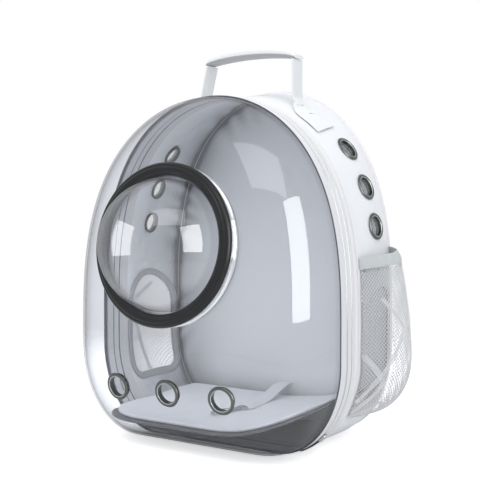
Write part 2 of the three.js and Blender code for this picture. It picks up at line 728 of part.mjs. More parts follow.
// Top handle: two strap legs sewn to the shoulders, with a padded grip across them
const legFoot = archHeightAt(HANDLE_HALF_SPAN, HANDLE_BACK);
function archHeightAt(x, y) {
  const height = heightAt(y);
  const share = 1 - (x / widthAt(y)) ** 2;
  return SHOULDER_START + (height - SHOULDER_START) * share ** (1 / SHOULDER_POWER);
}
const legTop = legFoot + GAP + HANDLE_HEIGHT + HANDLE_STRAP_WIDTH / 2;
const backward = new THREE.Vector3(0, 1, 0);
for (const [name, side] of sideNames) {
  const lying = 5;
  const lift = HANDLE_STRAP_THICKNESS / 2 + HANDLE_SEAT;
  const flare = [];
  const path = Array.from({ length: lying + 1 }, (_, i) => {
    const share = (lying - i) / lying;
    const x = HANDLE_HALF_SPAN + PATCH_START + PATCH_LENGTH * share;
    flare.push(PATCH_FLARE * share);
    const step = 2;
    const slope = (archHeightAt(x + step, HANDLE_BACK) - archHeightAt(x - step, HANDLE_BACK)) / (2 * step);
    const out = new THREE.Vector3(-slope, 0, 1).normalize().multiplyScalar(lift);
    return new THREE.Vector3(x, HANDLE_BACK - flare[i] / 2, archHeightAt(x, HANDLE_BACK)).add(out);
  });
  path.push(new THREE.Vector3(HANDLE_HALF_SPAN + 2, HANDLE_BACK, legFoot + 7));
  path.push(new THREE.Vector3(HANDLE_HALF_SPAN, HANDLE_BACK, legFoot + 16));
  path.push(new THREE.Vector3(HANDLE_HALF_SPAN - HANDLE_LEAN + side * HANDLE_SWAY, HANDLE_BACK, legTop));
  for (const point of path) point.x *= side;
  const widths = path.map((_, i) => HANDLE_STRAP_WIDTH + (flare[i] ?? 0));
  add(`handle_leg_${name}`, strap(path, backward, widths, HANDLE_STRAP_THICKNESS), LEATHER);
}

function handleGrip() {
  const steps = 8;
  const half = HANDLE_HALF_SPAN - HANDLE_LEAN + HANDLE_STRAP_THICKNESS;
  const path = Array.from({ length: steps + 1 }, (_, i) => {
    const share = 2 * i / steps - 1;
    return new THREE.Vector3(half * share, HANDLE_BACK, GRIP_ARCH * (1 - share ** 2));
  });
  const loops = path.map((point, i) => {
    const share = Math.abs(2 * i / steps - 1);
    const thickness = GRIP_THICKNESS * (1 - 0.4 * share ** 4);
    const ring = [[-0.5, 0.15], [-0.32, 0], [0.32, 0], [0.5, 0.15], [0.5, 0.7], [0.3, 1], [-0.3, 1], [-0.5, 0.7]];
    return ring.map(([across, up]) =>
      new THREE.Vector3(point.x, point.y + across * GRIP_WIDTH, point.z + up * thickness));
  });
  return skin(loops).translate(HANDLE_SWAY, 0, legTop + GAP);
}
add('handle_grip', handleGrip(), LEATHER);

// Side pockets: a bellied net skin whose edges lie on the wall, and an elastic hem above it
const pocketBelly = (along, up) =>
  Math.sin(Math.PI * along ** 1.3) ** 0.7 * Math.sin(Math.PI * 0.8 * up ** 0.45);

function pocketPoint(along, up, out) {
  const y = POCKET_FRONT + (POCKET_BACK - POCKET_FRONT) * along;
  const low = POCKET_LOW_FRONT + (POCKET_LOW_BACK - POCKET_LOW_FRONT) * along;
  const top = POCKET_TOP_FRONT + (POCKET_TOP_BACK - POCKET_TOP_FRONT) * along;
  const z = low + (top - low) * up;
  return new THREE.Vector3(sideX(y, z) + 2 * GAP + POCKET_BULGE * pocketBelly(along, up) + out, y, z);
}

// A sheet given by a function of two shares, thickened sideways
function sheetSolid(pointAt, columns, rows, thickness) {
  const walk = [];
  for (let i = 0; i <= columns; i++) {
    const column = [];
    for (let j = 0; j <= rows; j++) column.push(pointAt(i / columns, j / rows, 0));
    for (let j = rows; j >= 0; j--) column.push(pointAt(i / columns, j / rows, thickness));
    walk.push(column);
  }
  const count = 2 * (rows + 1);
  const points = walk.flat();
  const index = [];
  for (let i = 0; i < columns; i++) {
    for (let k = 0; k < count; k++) {
      const next = (k + 1) % count;
      const corner = [i * count + k, i * count + next, (i + 1) * count + next, (i + 1) * count + k];
      index.push(corner[0], corner[1], corner[2], corner[0], corner[2], corner[3]);
    }
  }
  for (const [i, flip] of [[0, true], [columns, false]]) {
    for (let j = 0; j < rows; j++) {
      const corner = [i * count + j, i * count + j + 1, i * count + count - 2 - j, i * count + count - 1 - j];
      if (flip) corner.reverse();
      index.push(corner[0], corner[1], corner[2], corner[0], corner[2], corner[3]);
    }
  }
  const geometry = new THREE.BufferGeometry().setFromPoints(points);
  geometry.setIndex(index);
  return geometry;
}

function hemPoint(along, up, out) {
  const foot = pocketPoint(along, 1, out);
  foot.z += GAP + HEM_HEIGHT * up;
  const belly = POCKET_BULGE * pocketBelly(along, 1) * (1 - 0.25 * up);
  foot.x = sideX(foot.y, foot.z) + 2 * GAP + belly + out;
  return foot;
}

for (const [name, side] of sideNames) {
  const mirrored = pointAt => (along, up, out) => {
    const point = pointAt(along, up, out);
    point.x *= side;
    return point;
  };
  add(`pocket_net_${name}`, sheetSolid(mirrored(pocketPoint), POCKET_STEPS, POCKET_STEPS, POCKET_NET), NET);
  add(`pocket_hem_${name}`, sheetSolid(mirrored(hemPoint), POCKET_STEPS, 1, HEM_THICKNESS), LEATHER);
}

// Shoulder straps: a padded strap that bows away from the back, a ladder buckle and webbing to the base
const sideways = new THREE.Vector3(1, 0, 0);
const strapLift = STRAP_THICKNESS / 2 + GAP;
for (const [name, side] of sideNames) {
  const path = Array.from({ length: STRAP_STEPS + 1 }, (_, i) => {
    const share = i / STRAP_STEPS;
    const bow = STRAP_BOW * Math.sin(Math.PI * share ** 0.8);
    const z = STRAP_TOP - (STRAP_TOP - STRAP_LOW) * share;
    return new THREE.Vector3(side * (STRAP_AT + 14 * Math.sin(Math.PI * share)), BACK_FACE + strapLift + bow, z);
  });
  add(`shoulder_strap_${name}`, strap(path, sideways, STRAP_WIDTH, STRAP_THICKNESS), LEATHER);
  const buckle = new THREE.BoxGeometry(BUCKLE_WIDTH, BUCKLE_THICKNESS, BUCKLE_HEIGHT);
  const buckleLow = STRAP_LOW - GAP - BUCKLE_HEIGHT - 2;
  buckle.translate(side * STRAP_AT, BACK_FACE + strapLift, buckleLow + BUCKLE_HEIGHT / 2);
  const webHigh = buckleLow - GAP;
  const webbing = [0, 0.35, 0.7, 1].map(share => new THREE.Vector3(
    side * STRAP_AT,
    BACK_FACE + strapLift - (strapLift - WEBBING_THICKNESS / 2 - GAP) * share,
    webHigh - (webHigh - WEBBING_LOW) * share));
  add(`strap_buckle_${name}`, buckle, BLACK_PLASTIC);
  add(`strap_webbing_${name}`, strap(webbing, sideways, WEBBING_WIDTH, WEBBING_THICKNESS), LEATHER);
}

// Zip slider at the lower right corner, with its pull lying along the zip
const sliderTurn = THREE.MathUtils.degToRad(SLIDER_AT);
const cornerRadius = (CORNER_RISE + BODY_HALF_WIDTH - FLAT_HALF_WIDTH) / 2;
const halfSlider = SLIDER_LENGTH / 2 / cornerRadius;
function onCorner(turn, out) {
  const x = FLAT_HALF_WIDTH + (BODY_HALF_WIDTH - FLAT_HALF_WIDTH) * Math.sin(turn);
  const z = CORNER_RISE * (1 - Math.cos(turn));
  const normal = new THREE.Vector2(Math.sin(turn) * CORNER_RISE,
    -Math.cos(turn) * (BODY_HALF_WIDTH - FLAT_HALF_WIDTH)).normalize();
  return new THREE.Vector3(x + normal.x * out, ZIP_FRONT + ZIP_WIDTH / 2, z + normal.y * out);
}
const sliderOut = GAP + SLIDER_THICKNESS / 2;
const sliderFrom = onCorner(sliderTurn + halfSlider, sliderOut);
const sliderTo = onCorner(sliderTurn - halfSlider, sliderOut);
add('zip_slider', strap([sliderFrom, sliderTo], backward, SLIDER_WIDTH, SLIDER_THICKNESS), STEEL);
const pullOut = GAP + PULL_THICKNESS / 2;
const pullFrom = sliderTurn - halfSlider - 2 * GAP / cornerRadius;
const pullPath = [0, 0.33, 0.67, 1].map(share =>
  onCorner(pullFrom - share * PULL_LENGTH / cornerRadius, pullOut));
add('zip_pull', strap(pullPath, backward, PULL_WIDTH, PULL_THICKNESS), BLACK_PLASTIC);

export default pack;
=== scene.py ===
# %% [markdown]
# # Bubble pet carrier backpack
# A standing pet carrier: a clear bulging front shell with a domed window in a rubber ring,
# a white cloth body behind it, net pockets at its sides, a top handle and shoulder straps.
# Sizes are millimetres from the plane where shell and cloth meet, until place() turns them into the frame.

# %% Start
import math

import bmesh
import bpy
import numpy as np
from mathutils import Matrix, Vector


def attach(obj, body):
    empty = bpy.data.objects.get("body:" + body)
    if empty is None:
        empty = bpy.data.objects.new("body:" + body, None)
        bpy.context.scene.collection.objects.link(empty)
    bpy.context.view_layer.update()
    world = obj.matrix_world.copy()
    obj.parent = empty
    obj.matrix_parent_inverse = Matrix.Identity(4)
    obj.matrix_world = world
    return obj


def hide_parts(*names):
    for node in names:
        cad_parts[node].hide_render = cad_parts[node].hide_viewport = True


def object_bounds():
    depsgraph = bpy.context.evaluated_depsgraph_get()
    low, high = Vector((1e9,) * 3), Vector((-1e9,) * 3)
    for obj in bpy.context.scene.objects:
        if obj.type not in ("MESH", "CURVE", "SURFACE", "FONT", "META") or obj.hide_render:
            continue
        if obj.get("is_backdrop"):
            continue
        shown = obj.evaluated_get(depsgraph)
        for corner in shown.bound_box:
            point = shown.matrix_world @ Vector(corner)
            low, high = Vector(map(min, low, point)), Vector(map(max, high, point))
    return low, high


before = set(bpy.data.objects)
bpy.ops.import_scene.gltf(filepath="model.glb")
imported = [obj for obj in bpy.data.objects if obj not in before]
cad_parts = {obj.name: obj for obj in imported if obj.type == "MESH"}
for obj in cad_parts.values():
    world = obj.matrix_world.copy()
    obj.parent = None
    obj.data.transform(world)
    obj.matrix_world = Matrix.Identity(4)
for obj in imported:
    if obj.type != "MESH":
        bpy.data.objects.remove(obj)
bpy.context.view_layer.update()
print("nodes", len(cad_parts))

# %% [markdown]
# ## Camera
# A picture like this is taken with a long lens from the right of the front, a little above the middle
# of the carrier. Its place, turn and lens are typed in, so every render has the same frame.

# %% Camera
CAMERA_AT = (0.6232, -1.0222, 0.3008)
CAMERA_TURN = math.radians(32.30)
CAMERA_DIP = math.radians(-2.76)
CAMERA_LENS = 69.53
camera = bpy.data.objects.new("camera", bpy.data.cameras.new("camera"))
camera.data.lens = CAMERA_LENS
camera.data.sensor_width = 36
camera.data.clip_start = 0.01
camera.location = CAMERA_AT
camera.rotation_euler = (math.pi / 2 + CAMERA_DIP, 0, CAMERA_TURN)
bpy.context.scene.collection.objects.link(camera)
scene = bpy.context.scene
scene.camera = camera
print("lens", camera.data.lens)

# %% [markdown]
# ## Studio
# The carrier stands in a white surround with large soft boxes. The upright boxes light gloss alone, so
# their window shapes show in the clear plastic and don't burn out the white cloth: both show in the
# dome, and the right one in the shell too. The box on top lights the cloth.

# %% Node helpers
def add_node(tree, kind, **values):
    """A shader node of that kind, with its named inputs or settings set"""
    node = tree.nodes.new(kind)
    for key, value in values.items():
        if key in node.inputs:
            node.inputs[key].default_value = value
        else:
            setattr(node, key, value)
    return node


def wire(tree, *pairs):
    """Links each pair of an output and an input"""
    for source, target in pairs:
        tree.links.new(source, target)


SEEN_WHITE, SURROUND = 1.0, 0.90
world = bpy.data.worlds.new("studio")
scene.world = world
world.use_nodes = True
tree = world.node_tree
tree.nodes.clear()
seen = add_node(tree, "ShaderNodeBackground", Color=(1, 1, 1, 1), Strength=SEEN_WHITE)
lit = add_node(tree, "ShaderNodeBackground", Color=(0.95, 0.975, 1, 1), Strength=SURROUND)
path = add_node(tree, "ShaderNodeLightPath")
mix = add_node(tree, "ShaderNodeMixShader")
out = add_node(tree, "ShaderNodeOutputWorld")
wire(tree, (path.outputs["Is Camera Ray"], mix.inputs[0]), (lit.outputs[0], mix.inputs[1]),
     (seen.outputs[0], mix.inputs[2]), (mix.outputs[0], out.inputs[0]))
scene.view_settings.view_transform = "Standard"
print("surround", SURROUND)

# %% Soft boxes
SUBJECT = Vector((0, -0.12, 0.22))
LIGHT_DISTANCE = 2.0
# name, azimuth from the front to the right, elevation, width, height in degrees, radiance, lights cloth
SOFT_BOXES = [
    ("box_right", 78, 13, 34, 40, 5.0, False),
    ("box_left", -43, 9, 40, 40, 4.2, False),
    ("box_soft", 40, 50, 48, 28, 1.5, False),
    ("box_top", 20, 66, 70, 50, 1.7, True),
]


def soft_box(name, azimuth, elevation, wide, high, radiance, lights_cloth):
    """A rectangular light that faces the carrier and fills those angles"""
    data = bpy.data.lights.new(name, "AREA")
    data.shape = "RECTANGLE"
    data.size = 2 * LIGHT_DISTANCE * math.tan(math.radians(wide / 2))
    data.size_y = 2 * LIGHT_DISTANCE * math.tan(math.radians(high / 2))
    data.energy = radiance * math.pi * data.size * data.size_y
    turn, lift = math.radians(azimuth), math.radians(elevation)
    away = Vector((math.sin(turn) * math.cos(lift), -math.cos(turn) * math.cos(lift), math.sin(lift)))
    light = bpy.data.objects.new(name, data)
    light.location = SUBJECT + away * LIGHT_DISTANCE
    light.rotation_euler = away.to_track_quat("Z", "Y").to_euler()
    light.visible_diffuse = lights_cloth
    light.visible_glossy = not lights_cloth
    scene.collection.objects.link(light)
    return light


boxes = [soft_box(*row) for row in SOFT_BOXES]
# The left box is mirrored in the dome alone
dome_only = bpy.data.collections.new("dome_only")
boxes[1].light_linking.receiver_collection = dome_only
print("soft boxes", len(boxes))

# %% [markdown]
# ## Materials
# The real carrier is coated cloth, rubber, metal, net and smoke-grey plastic. Pictures could carry the
# grain, but noise as fine relief stays sharp at any distance, so each finish is one Principled surface
# with it. Clear pieces mix a transparent tint with a glossy coat by the angle of view. Glass that bends
# light would be slower, and plastic this thin hardly bends it.

# %% Materials
MIX_FIRST, MIX_SECOND, MIX_RESULT = 6, 7, 2


def blend_of(tree, first, second, share):
    """The colour that goes from first to second as the linked share goes from 0 to 1"""
    blend = add_node(tree, "ShaderNodeMix", data_type="RGBA")
    blend.inputs[MIX_FIRST].default_value = (*first, 1)
    blend.inputs[MIX_SECOND].default_value = (*second, 1)
    tree.links.new(share, blend.inputs[0])
    return blend.outputs[MIX_RESULT]


def surface(name, color, roughness, specular=0.5, metallic=0.0, sheen=0.0, relief=None, shaded=None):
    """A Principled material; relief is (noise scale per metre, depth in millimetres) and shaded is
    the painted shade colour where the UV layer named shade has u = 1"""
    mat = bpy.data.materials.new(name)
    mat.use_nodes = True
    tree = mat.node_tree
    inputs = tree.nodes["Principled BSDF"].inputs
    inputs["Base Color"].default_value = (*color, 1)
    inputs["Roughness"].default_value = roughness
    inputs["Specular IOR Level"].default_value = specular
    inputs["Metallic"].default_value = metallic
    inputs["Sheen Weight"].default_value = sheen
    if shaded:
        layer = add_node(tree, "ShaderNodeUVMap", uv_map="shade")
        split = add_node(tree, "ShaderNodeSeparateXYZ")
        wire(tree, (layer.outputs["UV"], split.inputs[0]),
             (blend_of(tree, color, shaded, split.outputs["X"]), inputs["Base Color"]))
    if relief:
        where = add_node(tree, "ShaderNodeTexCoord")
        noise = add_node(tree, "ShaderNodeTexNoise", Scale=relief[0], Detail=3.0, Roughness=0.55)
        bump = add_node(tree, "ShaderNodeBump", Distance=relief[1] / 1000, Strength=1.0)
        wire(tree, (where.outputs["Object"], noise.inputs["Vector"]),
             (noise.outputs["Fac"], bump.inputs["Height"]), (bump.outputs["Normal"], inputs["Normal"]))
    return mat


def clear(name, tint, rim_tint, face, edge):
    """Clear plastic: a tint that deepens to rim_tint under a coat of face to edge, both by (1 - cos)^5"""
    mat = bpy.data.materials.new(name)
    mat.use_nodes = True
    tree = mat.node_tree
    tree.nodes.clear()
    through = add_node(tree, "ShaderNodeBsdfTransparent", Color=(*tint, 1))
    gloss = add_node(tree, "ShaderNodeBsdfGlossy", Color=(1, 1, 1, 1), Roughness=0.03)
    angle = add_node(tree, "ShaderNodeLayerWeight", Blend=0.5)
    power = add_node(tree, "ShaderNodeMath", operation="POWER")
    power.inputs[1].default_value = 5.0
    coat = add_node(tree, "ShaderNodeMapRange", **{"To Min": face, "To Max": edge})
    mix = add_node(tree, "ShaderNodeMixShader")
    out = add_node(tree, "ShaderNodeOutputMaterial")
    wire(tree, (angle.outputs["Facing"], power.inputs[0]), (power.outputs[0], coat.inputs["Value"]),
         (blend_of(tree, tint, rim_tint, power.outputs[0]), through.inputs["Color"]),
         (coat.outputs["Result"], mix.inputs[0]), (through.outputs[0], mix.inputs[1]),
         (gloss.outputs[0], mix.inputs[2]), (mix.outputs[0], out.inputs[0]))
    return mat


def net_with_painted_shade(name, outside, inside):
    """Net threads painted dark where they face out of the body, a painted shade for the dim inside seen
    through them, and their own pale colour where they face in: the share rises from 0 to 1 as sign(x)
    times the normal's x goes from -0.1 to 0.1"""
    mat = surface(name, inside, 0.7, 0.2)
    tree = mat.node_tree
    facing = add_node(tree, "ShaderNodeNewGeometry")
    where = add_node(tree, "ShaderNodeTexCoord")
    normal = add_node(tree, "ShaderNodeSeparateXYZ")
    spot = add_node(tree, "ShaderNodeSeparateXYZ")
    sign = add_node(tree, "ShaderNodeMath", operation="SIGN")
    away = add_node(tree, "ShaderNodeMath", operation="MULTIPLY")
    share = add_node(tree, "ShaderNodeMapRange", **{"From Min": -0.1, "From Max": 0.1})
    wire(tree, (facing.outputs["Normal"], normal.inputs[0]), (where.outputs["Object"], spot.inputs[0]),
         (spot.outputs["X"], sign.inputs[0]), (sign.outputs[0], away.inputs[0]),
         (normal.outputs["X"], away.inputs[1]), (away.outputs[0], share.inputs["Value"]),
         (blend_of(tree, inside, outside, share.outputs["Result"]),
          tree.nodes["Principled BSDF"].inputs["Base Color"]))
    return mat


LEATHER = surface("leather", (0.75, 0.76, 0.76), 0.5, 0.35, relief=(900, 0.12))
# Its shaded colour is painted shade, mixed in by the shade values written below
BODY_CLOTH_PAINTED_SHADE = surface("body_cloth_painted_shade", (0.89, 0.90, 0.92), 0.5, 0.35, relief=(900, 0.12),
                     shaded=(0.12, 0.122, 0.135))
HEM_CLOTH = surface("hem_cloth", (0.50, 0.525, 0.52), 0.7, 0.25, relief=(1500, 0.15))
RIM_SHADOW = surface("rim_shadow", (0.10, 0.10, 0.115), 0.6, 0.2)
# The nets are painted dark where they face out, as shade of the dim inside
WINDOW_NET_PAINTED_SHADE = net_with_painted_shade("window_net", (0.20, 0.20, 0.21), (0.93, 0.93, 0.94))
EYELET_NET_PAINTED_SHADE = net_with_painted_shade("eyelet_net", (0.16, 0.17, 0.165), (0.80, 0.80, 0.80))
# Grey for the window hems, and painted shade on the grip's underside
GREY_LEATHER_AND_PAINTED_SHADE = surface("grey_leather_and_painted_shade", (0.42, 0.42, 0.44), 0.55, 0.3, relief=(900, 0.12))
BINDING = surface("binding", (0.70, 0.70, 0.72), 0.6, 0.3, relief=(1500, 0.15))
PIPING = surface("piping", (0.74, 0.715, 0.73), 0.55, 0.3, relief=(1500, 0.1))
ZIP_TAPE = surface("zip_tape", (0.10, 0.10, 0.11), 0.6, 0.3)
THREAD = surface("thread", (0.70, 0.70, 0.72), 0.8, 0.2)
NET = surface("net", (0.76, 0.76, 0.775), 0.6, 0.3)
RUBBER = surface("rubber", (0.010, 0.010, 0.011), 0.28, 0.32)
GUNMETAL = surface("gunmetal", (0.12, 0.125, 0.12), 0.28, 0.5, metallic=1.0)
BRIGHT_METAL = surface("bright_metal", (0.55, 0.56, 0.55), 0.22, 0.5, metallic=1.0)
STEEL = surface("steel", (0.45, 0.46, 0.47), 0.25, metallic=1.0)
BOARD_CLOTH = surface("board_cloth", (0.16, 0.16, 0.17), 0.8, 0.2)
MAT_CLOTH = surface("mat_cloth", (0.84, 0.85, 0.88), 0.8, 0.2, sheen=0.2, relief=(1800, 0.25))
WEBBING = surface("webbing", (0.78, 0.79, 0.81), 0.7, 0.2, relief=(2200, 0.3))
PLASTIC = surface("black_plastic", (0.03, 0.03, 0.033), 0.4, 0.5)
SHELL_CLEAR = clear("shell_clear", (0.93, 0.935, 0.95), (0.34, 0.345, 0.36), 0.045, 0.5)
# The neck's two clears are painted reflections: dark on the left, pale on the right
NECK_PAINTED_DARK_REFLECTION = clear("neck_painted_dark_reflection", (0.42, 0.44, 0.47), (0.2, 0.2, 0.21), 0.03, 0.3)
NECK_PAINTED_REFLECTION = clear("neck_painted_reflection", (0.75, 0.76, 0.78), (0.6, 0.6, 0.62), 0.55, 0.9)
DOME_CLEAR = clear("dome_clear", (0.955, 0.96, 0.97), (0.2, 0.2, 0.21), 0.05, 0.6)
print("materials", len(bpy.data.materials))

# %% [markdown]
# ## Shape helpers
# Every piece is worked out as whole arrays: a grid of points, or a section carried along a path, or a
# profile turned round an axis. Modelling by hand or with modifiers would do too, but a formula keeps
# each piece on the same sizes as its neighbours. Offsets run along the grid's own normals.

# %% Grids and pieces
BASE_MIDDLE = 93.9


def place(points):
    """Millimetres from the rim plane to metres in the frame: ((x, y - 93.9, z)) / 1000"""
    return (np.asarray(points, float) + (0, -BASE_MIDDLE, 0)) / 1000


def as_lists(faces):
    """Faces as plain lists, also where their numbers of corners differ"""
    return faces.tolist() if isinstance(faces, np.ndarray) else [list(face) for face in faces]


def piece(name, points, faces, material, nodes=(), close=True, angle=40):
    """A mesh object in the frame that rides on the body and stands for those nodes"""
    mesh = bpy.data.meshes.new(name)
    mesh.from_pydata(place(points).tolist(), [], as_lists(faces))
    if close:
        work = bmesh.new()
        work.from_mesh(mesh)
        bmesh.ops.recalc_face_normals(work, faces=work.faces)
        work.to_mesh(mesh)
        work.free()
    mesh.materials.append(material)
    mesh.shade_smooth()
    mesh.set_sharp_from_angle(angle=math.radians(angle))
    obj = bpy.data.objects.new(name, mesh)
    scene.collection.objects.link(obj)
    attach(obj, "root")
    if nodes:
        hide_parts(*nodes)
    return obj


def shade(obj, values):
    """Writes a painted shade value for each point of a piece to u of its UV layer named shade"""
    mesh = obj.data
    corners = np.empty(len(mesh.loops), np.int32)
    mesh.loops.foreach_get("vertex_index", corners)
    uv = np.zeros((len(corners), 2), np.float32)
    uv[:, 0] = np.asarray(values)[corners]
    layer = mesh.uv_layers.new(name="shade")
    layer.data.foreach_set("uv", uv.ravel())


def grid_faces(rows, columns, wrap_rows=False, wrap_columns=False):
    """Quads of a grid of points numbered row by row, joined round where it wraps"""
    i = np.arange(rows if wrap_rows else rows - 1)[:, None]
    j = np.arange(columns if wrap_columns else columns - 1)[None, :]
    down, right = (i + 1) % rows, (j + 1) % columns
    quads = [i * columns + j, i * columns + right, down * columns + right, down * columns + j]
    return np.stack([q + 0 * (i + j) for q in quads], -1).reshape(-1, 4)


def normals(points):
    """Unit normals of a grid that wraps round in its columns: the cross product of its differences"""
    along = (np.roll(points, -1, 1) - np.roll(points, 1, 1)) / 2
    cross = np.cross(along, np.gradient(points, axis=0))
    return cross / np.maximum(np.linalg.norm(cross, axis=-1, keepdims=True), 1e-9)


def two_sided(outer, inner, wrap_columns=False, keep=None):
    """Points and quads of the closed body between two grids, and which grid points it uses; keep says
    which quads stay"""
    rows, columns = outer.shape[:2]
    quads = grid_faces(rows, columns, False, wrap_columns)
    if keep is not None:
        quads = quads[keep(outer.reshape(-1, 3)[quads].mean(1))]
    count = rows * columns
    edges = np.concatenate([quads[:, [a, (a + 1) % 4]] for a in range(4)])
    code = edges[:, 0] * count + edges[:, 1]
    back = edges[:, 1] * count + edges[:, 0]
    rim = edges[~np.isin(code, back)]
    side = np.stack([rim[:, 1], rim[:, 0], rim[:, 0] + count, rim[:, 1] + count], -1)
    faces = np.concatenate([quads, quads[:, ::-1] + count, side])
    points = np.concatenate([outer.reshape(-1, 3), inner.reshape(-1, 3)])
    used, index = np.unique(faces, return_inverse=True)
    return points[used], index.reshape(faces.shape), used


def tube_faces(loops, closed=False):
    """Points and faces of a skin over loops; open ends are capped"""
    count, sides = loops.shape[:2]
    faces = grid_faces(count, sides, closed, True).tolist()
    if not closed:
        faces.append(list(range(sides)))
        faces.append([(count - 1) * sides + k for k in range(sides)][::-1])
    return loops.reshape(-1, 3), faces


def join(parts):
    """One array of points and one list of faces from several"""
    points, faces, start = [], [], 0
    for part_points, part_faces in parts:
        points.append(np.asarray(part_points, float))
        faces += [[start + corner for corner in face] for face in as_lists(part_faces)]
        start += len(part_points)
    return np.concatenate(points), faces


def spline(points, count):
    """A smooth Catmull-Rom path through points, with even spacing"""
    points = np.asarray(points, float)
    ends = np.vstack([2 * points[0] - points[1], points, 2 * points[-1] - points[-2]])
    t = np.linspace(0, 1, 24, endpoint=False)[:, None]
    pieces = []
    for a, b, c, d in zip(ends, ends[1:], ends[2:], ends[3:]):
        pieces.append(0.5 * (2 * b + (c - a) * t + (2 * a - 5 * b + 4 * c - d) * t ** 2
                             + (3 * b - a - 3 * c + d) * t ** 3))
    dense = np.vstack(pieces + [points[-1:]])
    return resample(dense, count)


def resample(path, count):
    """A path with points at even distances along it"""
    gone = np.concatenate([[0], np.cumsum(np.linalg.norm(np.diff(path, axis=0), axis=1))])
    even = np.linspace(0, gone[-1], count)
    return np.stack([np.interp(even, gone, path[:, k]) for k in range(path.shape[1])], -1)


def sweep(path, section, across, closed=False):
    """Loops of a flat section (side, up) along a path; across is the side direction at each point"""
    if closed:
        along = np.roll(path, -1, 0) - np.roll(path, 1, 0)
    else:
        along = np.gradient(path, axis=0)
    along /= np.linalg.norm(along, axis=1, keepdims=True)
    side = np.broadcast_to(across, path.shape).astype(float)
    side = side - along * (side * along).sum(1, keepdims=True)
    side /= np.linalg.norm(side, axis=1, keepdims=True)
    up = np.cross(side, along)
    section = np.asarray(section, float)
    if section.ndim == 2:
        section = np.broadcast_to(section, (len(path), *section.shape))
    return path[:, None] + section[..., :1] * side[:, None] + section[..., 1:] * up[:, None]


def circle(radius, sides):
    """Section points on a circle"""
    turn = 2 * np.pi * np.arange(sides) / sides
    return np.stack([radius * np.cos(turn), radius * np.sin(turn)], -1)


def pill(width, height, sides=16, power=4):
    """A flat section with rounded edges: |x / half width|^power + |y / half height|^2.5 = 1"""
    turn = 2 * np.pi * np.arange(sides) / sides
    c, s = np.cos(turn), np.sin(turn)
    return np.stack([width / 2 * np.sign(c) * abs(c) ** (2 / power),
                     height / 2 * np.sign(s) * abs(s) ** (2 / 2.5)], -1)


def tapered(section, wide, high):
    """The section at each step of a path, with its width and height scaled by those values"""
    return section[None] * np.stack(np.broadcast_arrays(wide, high), -1)[:, None]


def tube(name, loops, material, nodes, angle=50):
    """A piece that is a skin over loops with capped ends"""
    points, faces = tube_faces(loops)
    return piece(name, points, faces, material, nodes, angle=angle)


def across_of(axis):
    """The unit axis and two unit directions across it"""
    axis = np.asarray(axis, float) / np.linalg.norm(axis)
    side = np.cross(axis, (0, 0, 1.0))
    side /= np.linalg.norm(side)
    return axis, side, np.cross(side, axis)


def revolve(profile, origin, axis, count):
    """Loops of a profile (radius, height) turned round an axis"""
    axis, side, up = across_of(axis)
    turn = 2 * np.pi * np.arange(count) / count
    profile = np.asarray(profile, float)
    spoke = np.cos(turn)[:, None] * side + np.sin(turn)[:, None] * up
    return np.asarray(origin) + profile[:, None, :1] * spoke + profile[:, None, 1:] * axis


print("helpers ready")

# %% [markdown]
# ## Outline of the body
# From the front the body is a flat base with rounded lower corners, a short straight side and an arch.
# From the rim plane to the back the arch rises a little, and the sides swell out and come in again.
# Each band, wall and panel is this one outline at some depth, so they all fit each other.

# %% Outline
GAP = 0.3
SIDES = (("left", -1), ("right", 1))
HALF_WIDTH, FLAT_HALF, CORNER_RISE, SHOULDER_START = 172, 88, 110, 140
RIM_HEIGHT, BACK_RISE, SIDE_BULGE, SIDE_TAPER, SHOULDER_POWER = 420, 17, 9, 7, 2.85
WALL_FRONT, WALL_BACK, WALL_THICK = 40.9, 146.9, 2.5
AROUND = 600


def wall_share(y):
    """Share of the way from the wall's front edge to its back edge"""
    return np.clip((y - WALL_FRONT) / (WALL_BACK - WALL_FRONT), 0, 1)


def width_at(y):
    """Half width: 172 + 9 sin(pi s^1.3) - 7 s^2, with s the share of the wall's depth"""
    share = wall_share(y)
    return HALF_WIDTH + SIDE_BULGE * np.sin(np.pi * share ** 1.3) - SIDE_TAPER * share ** 2


def height_at(y):
    """Height of the arch's top: 420 + 17 s"""
    return RIM_HEIGHT + BACK_RISE * wall_share(y)


def side_x(y, z):
    """Half width of the outline at a height: corner ellipse, straight, arch"""
    width, height = width_at(y), height_at(y)
    corner = FLAT_HALF + (width - FLAT_HALF) * np.sqrt(np.clip(1 - (1 - z / CORNER_RISE) ** 2, 0, 1))
    rise = np.clip((z - SHOULDER_START) / (height - SHOULDER_START), 0, 1)
    arch = width * np.sqrt(1 - rise ** SHOULDER_POWER)
    return np.where(z < CORNER_RISE, corner, np.where(z < SHOULDER_START, width, arch))


def arch_height(x, y):
    """Height of the arch over a half width"""
    share = np.clip(1 - (x / width_at(y)) ** 2, 0, 1)
    return SHOULDER_START + (height_at(y) - SHOULDER_START) * share ** (1 / SHOULDER_POWER)


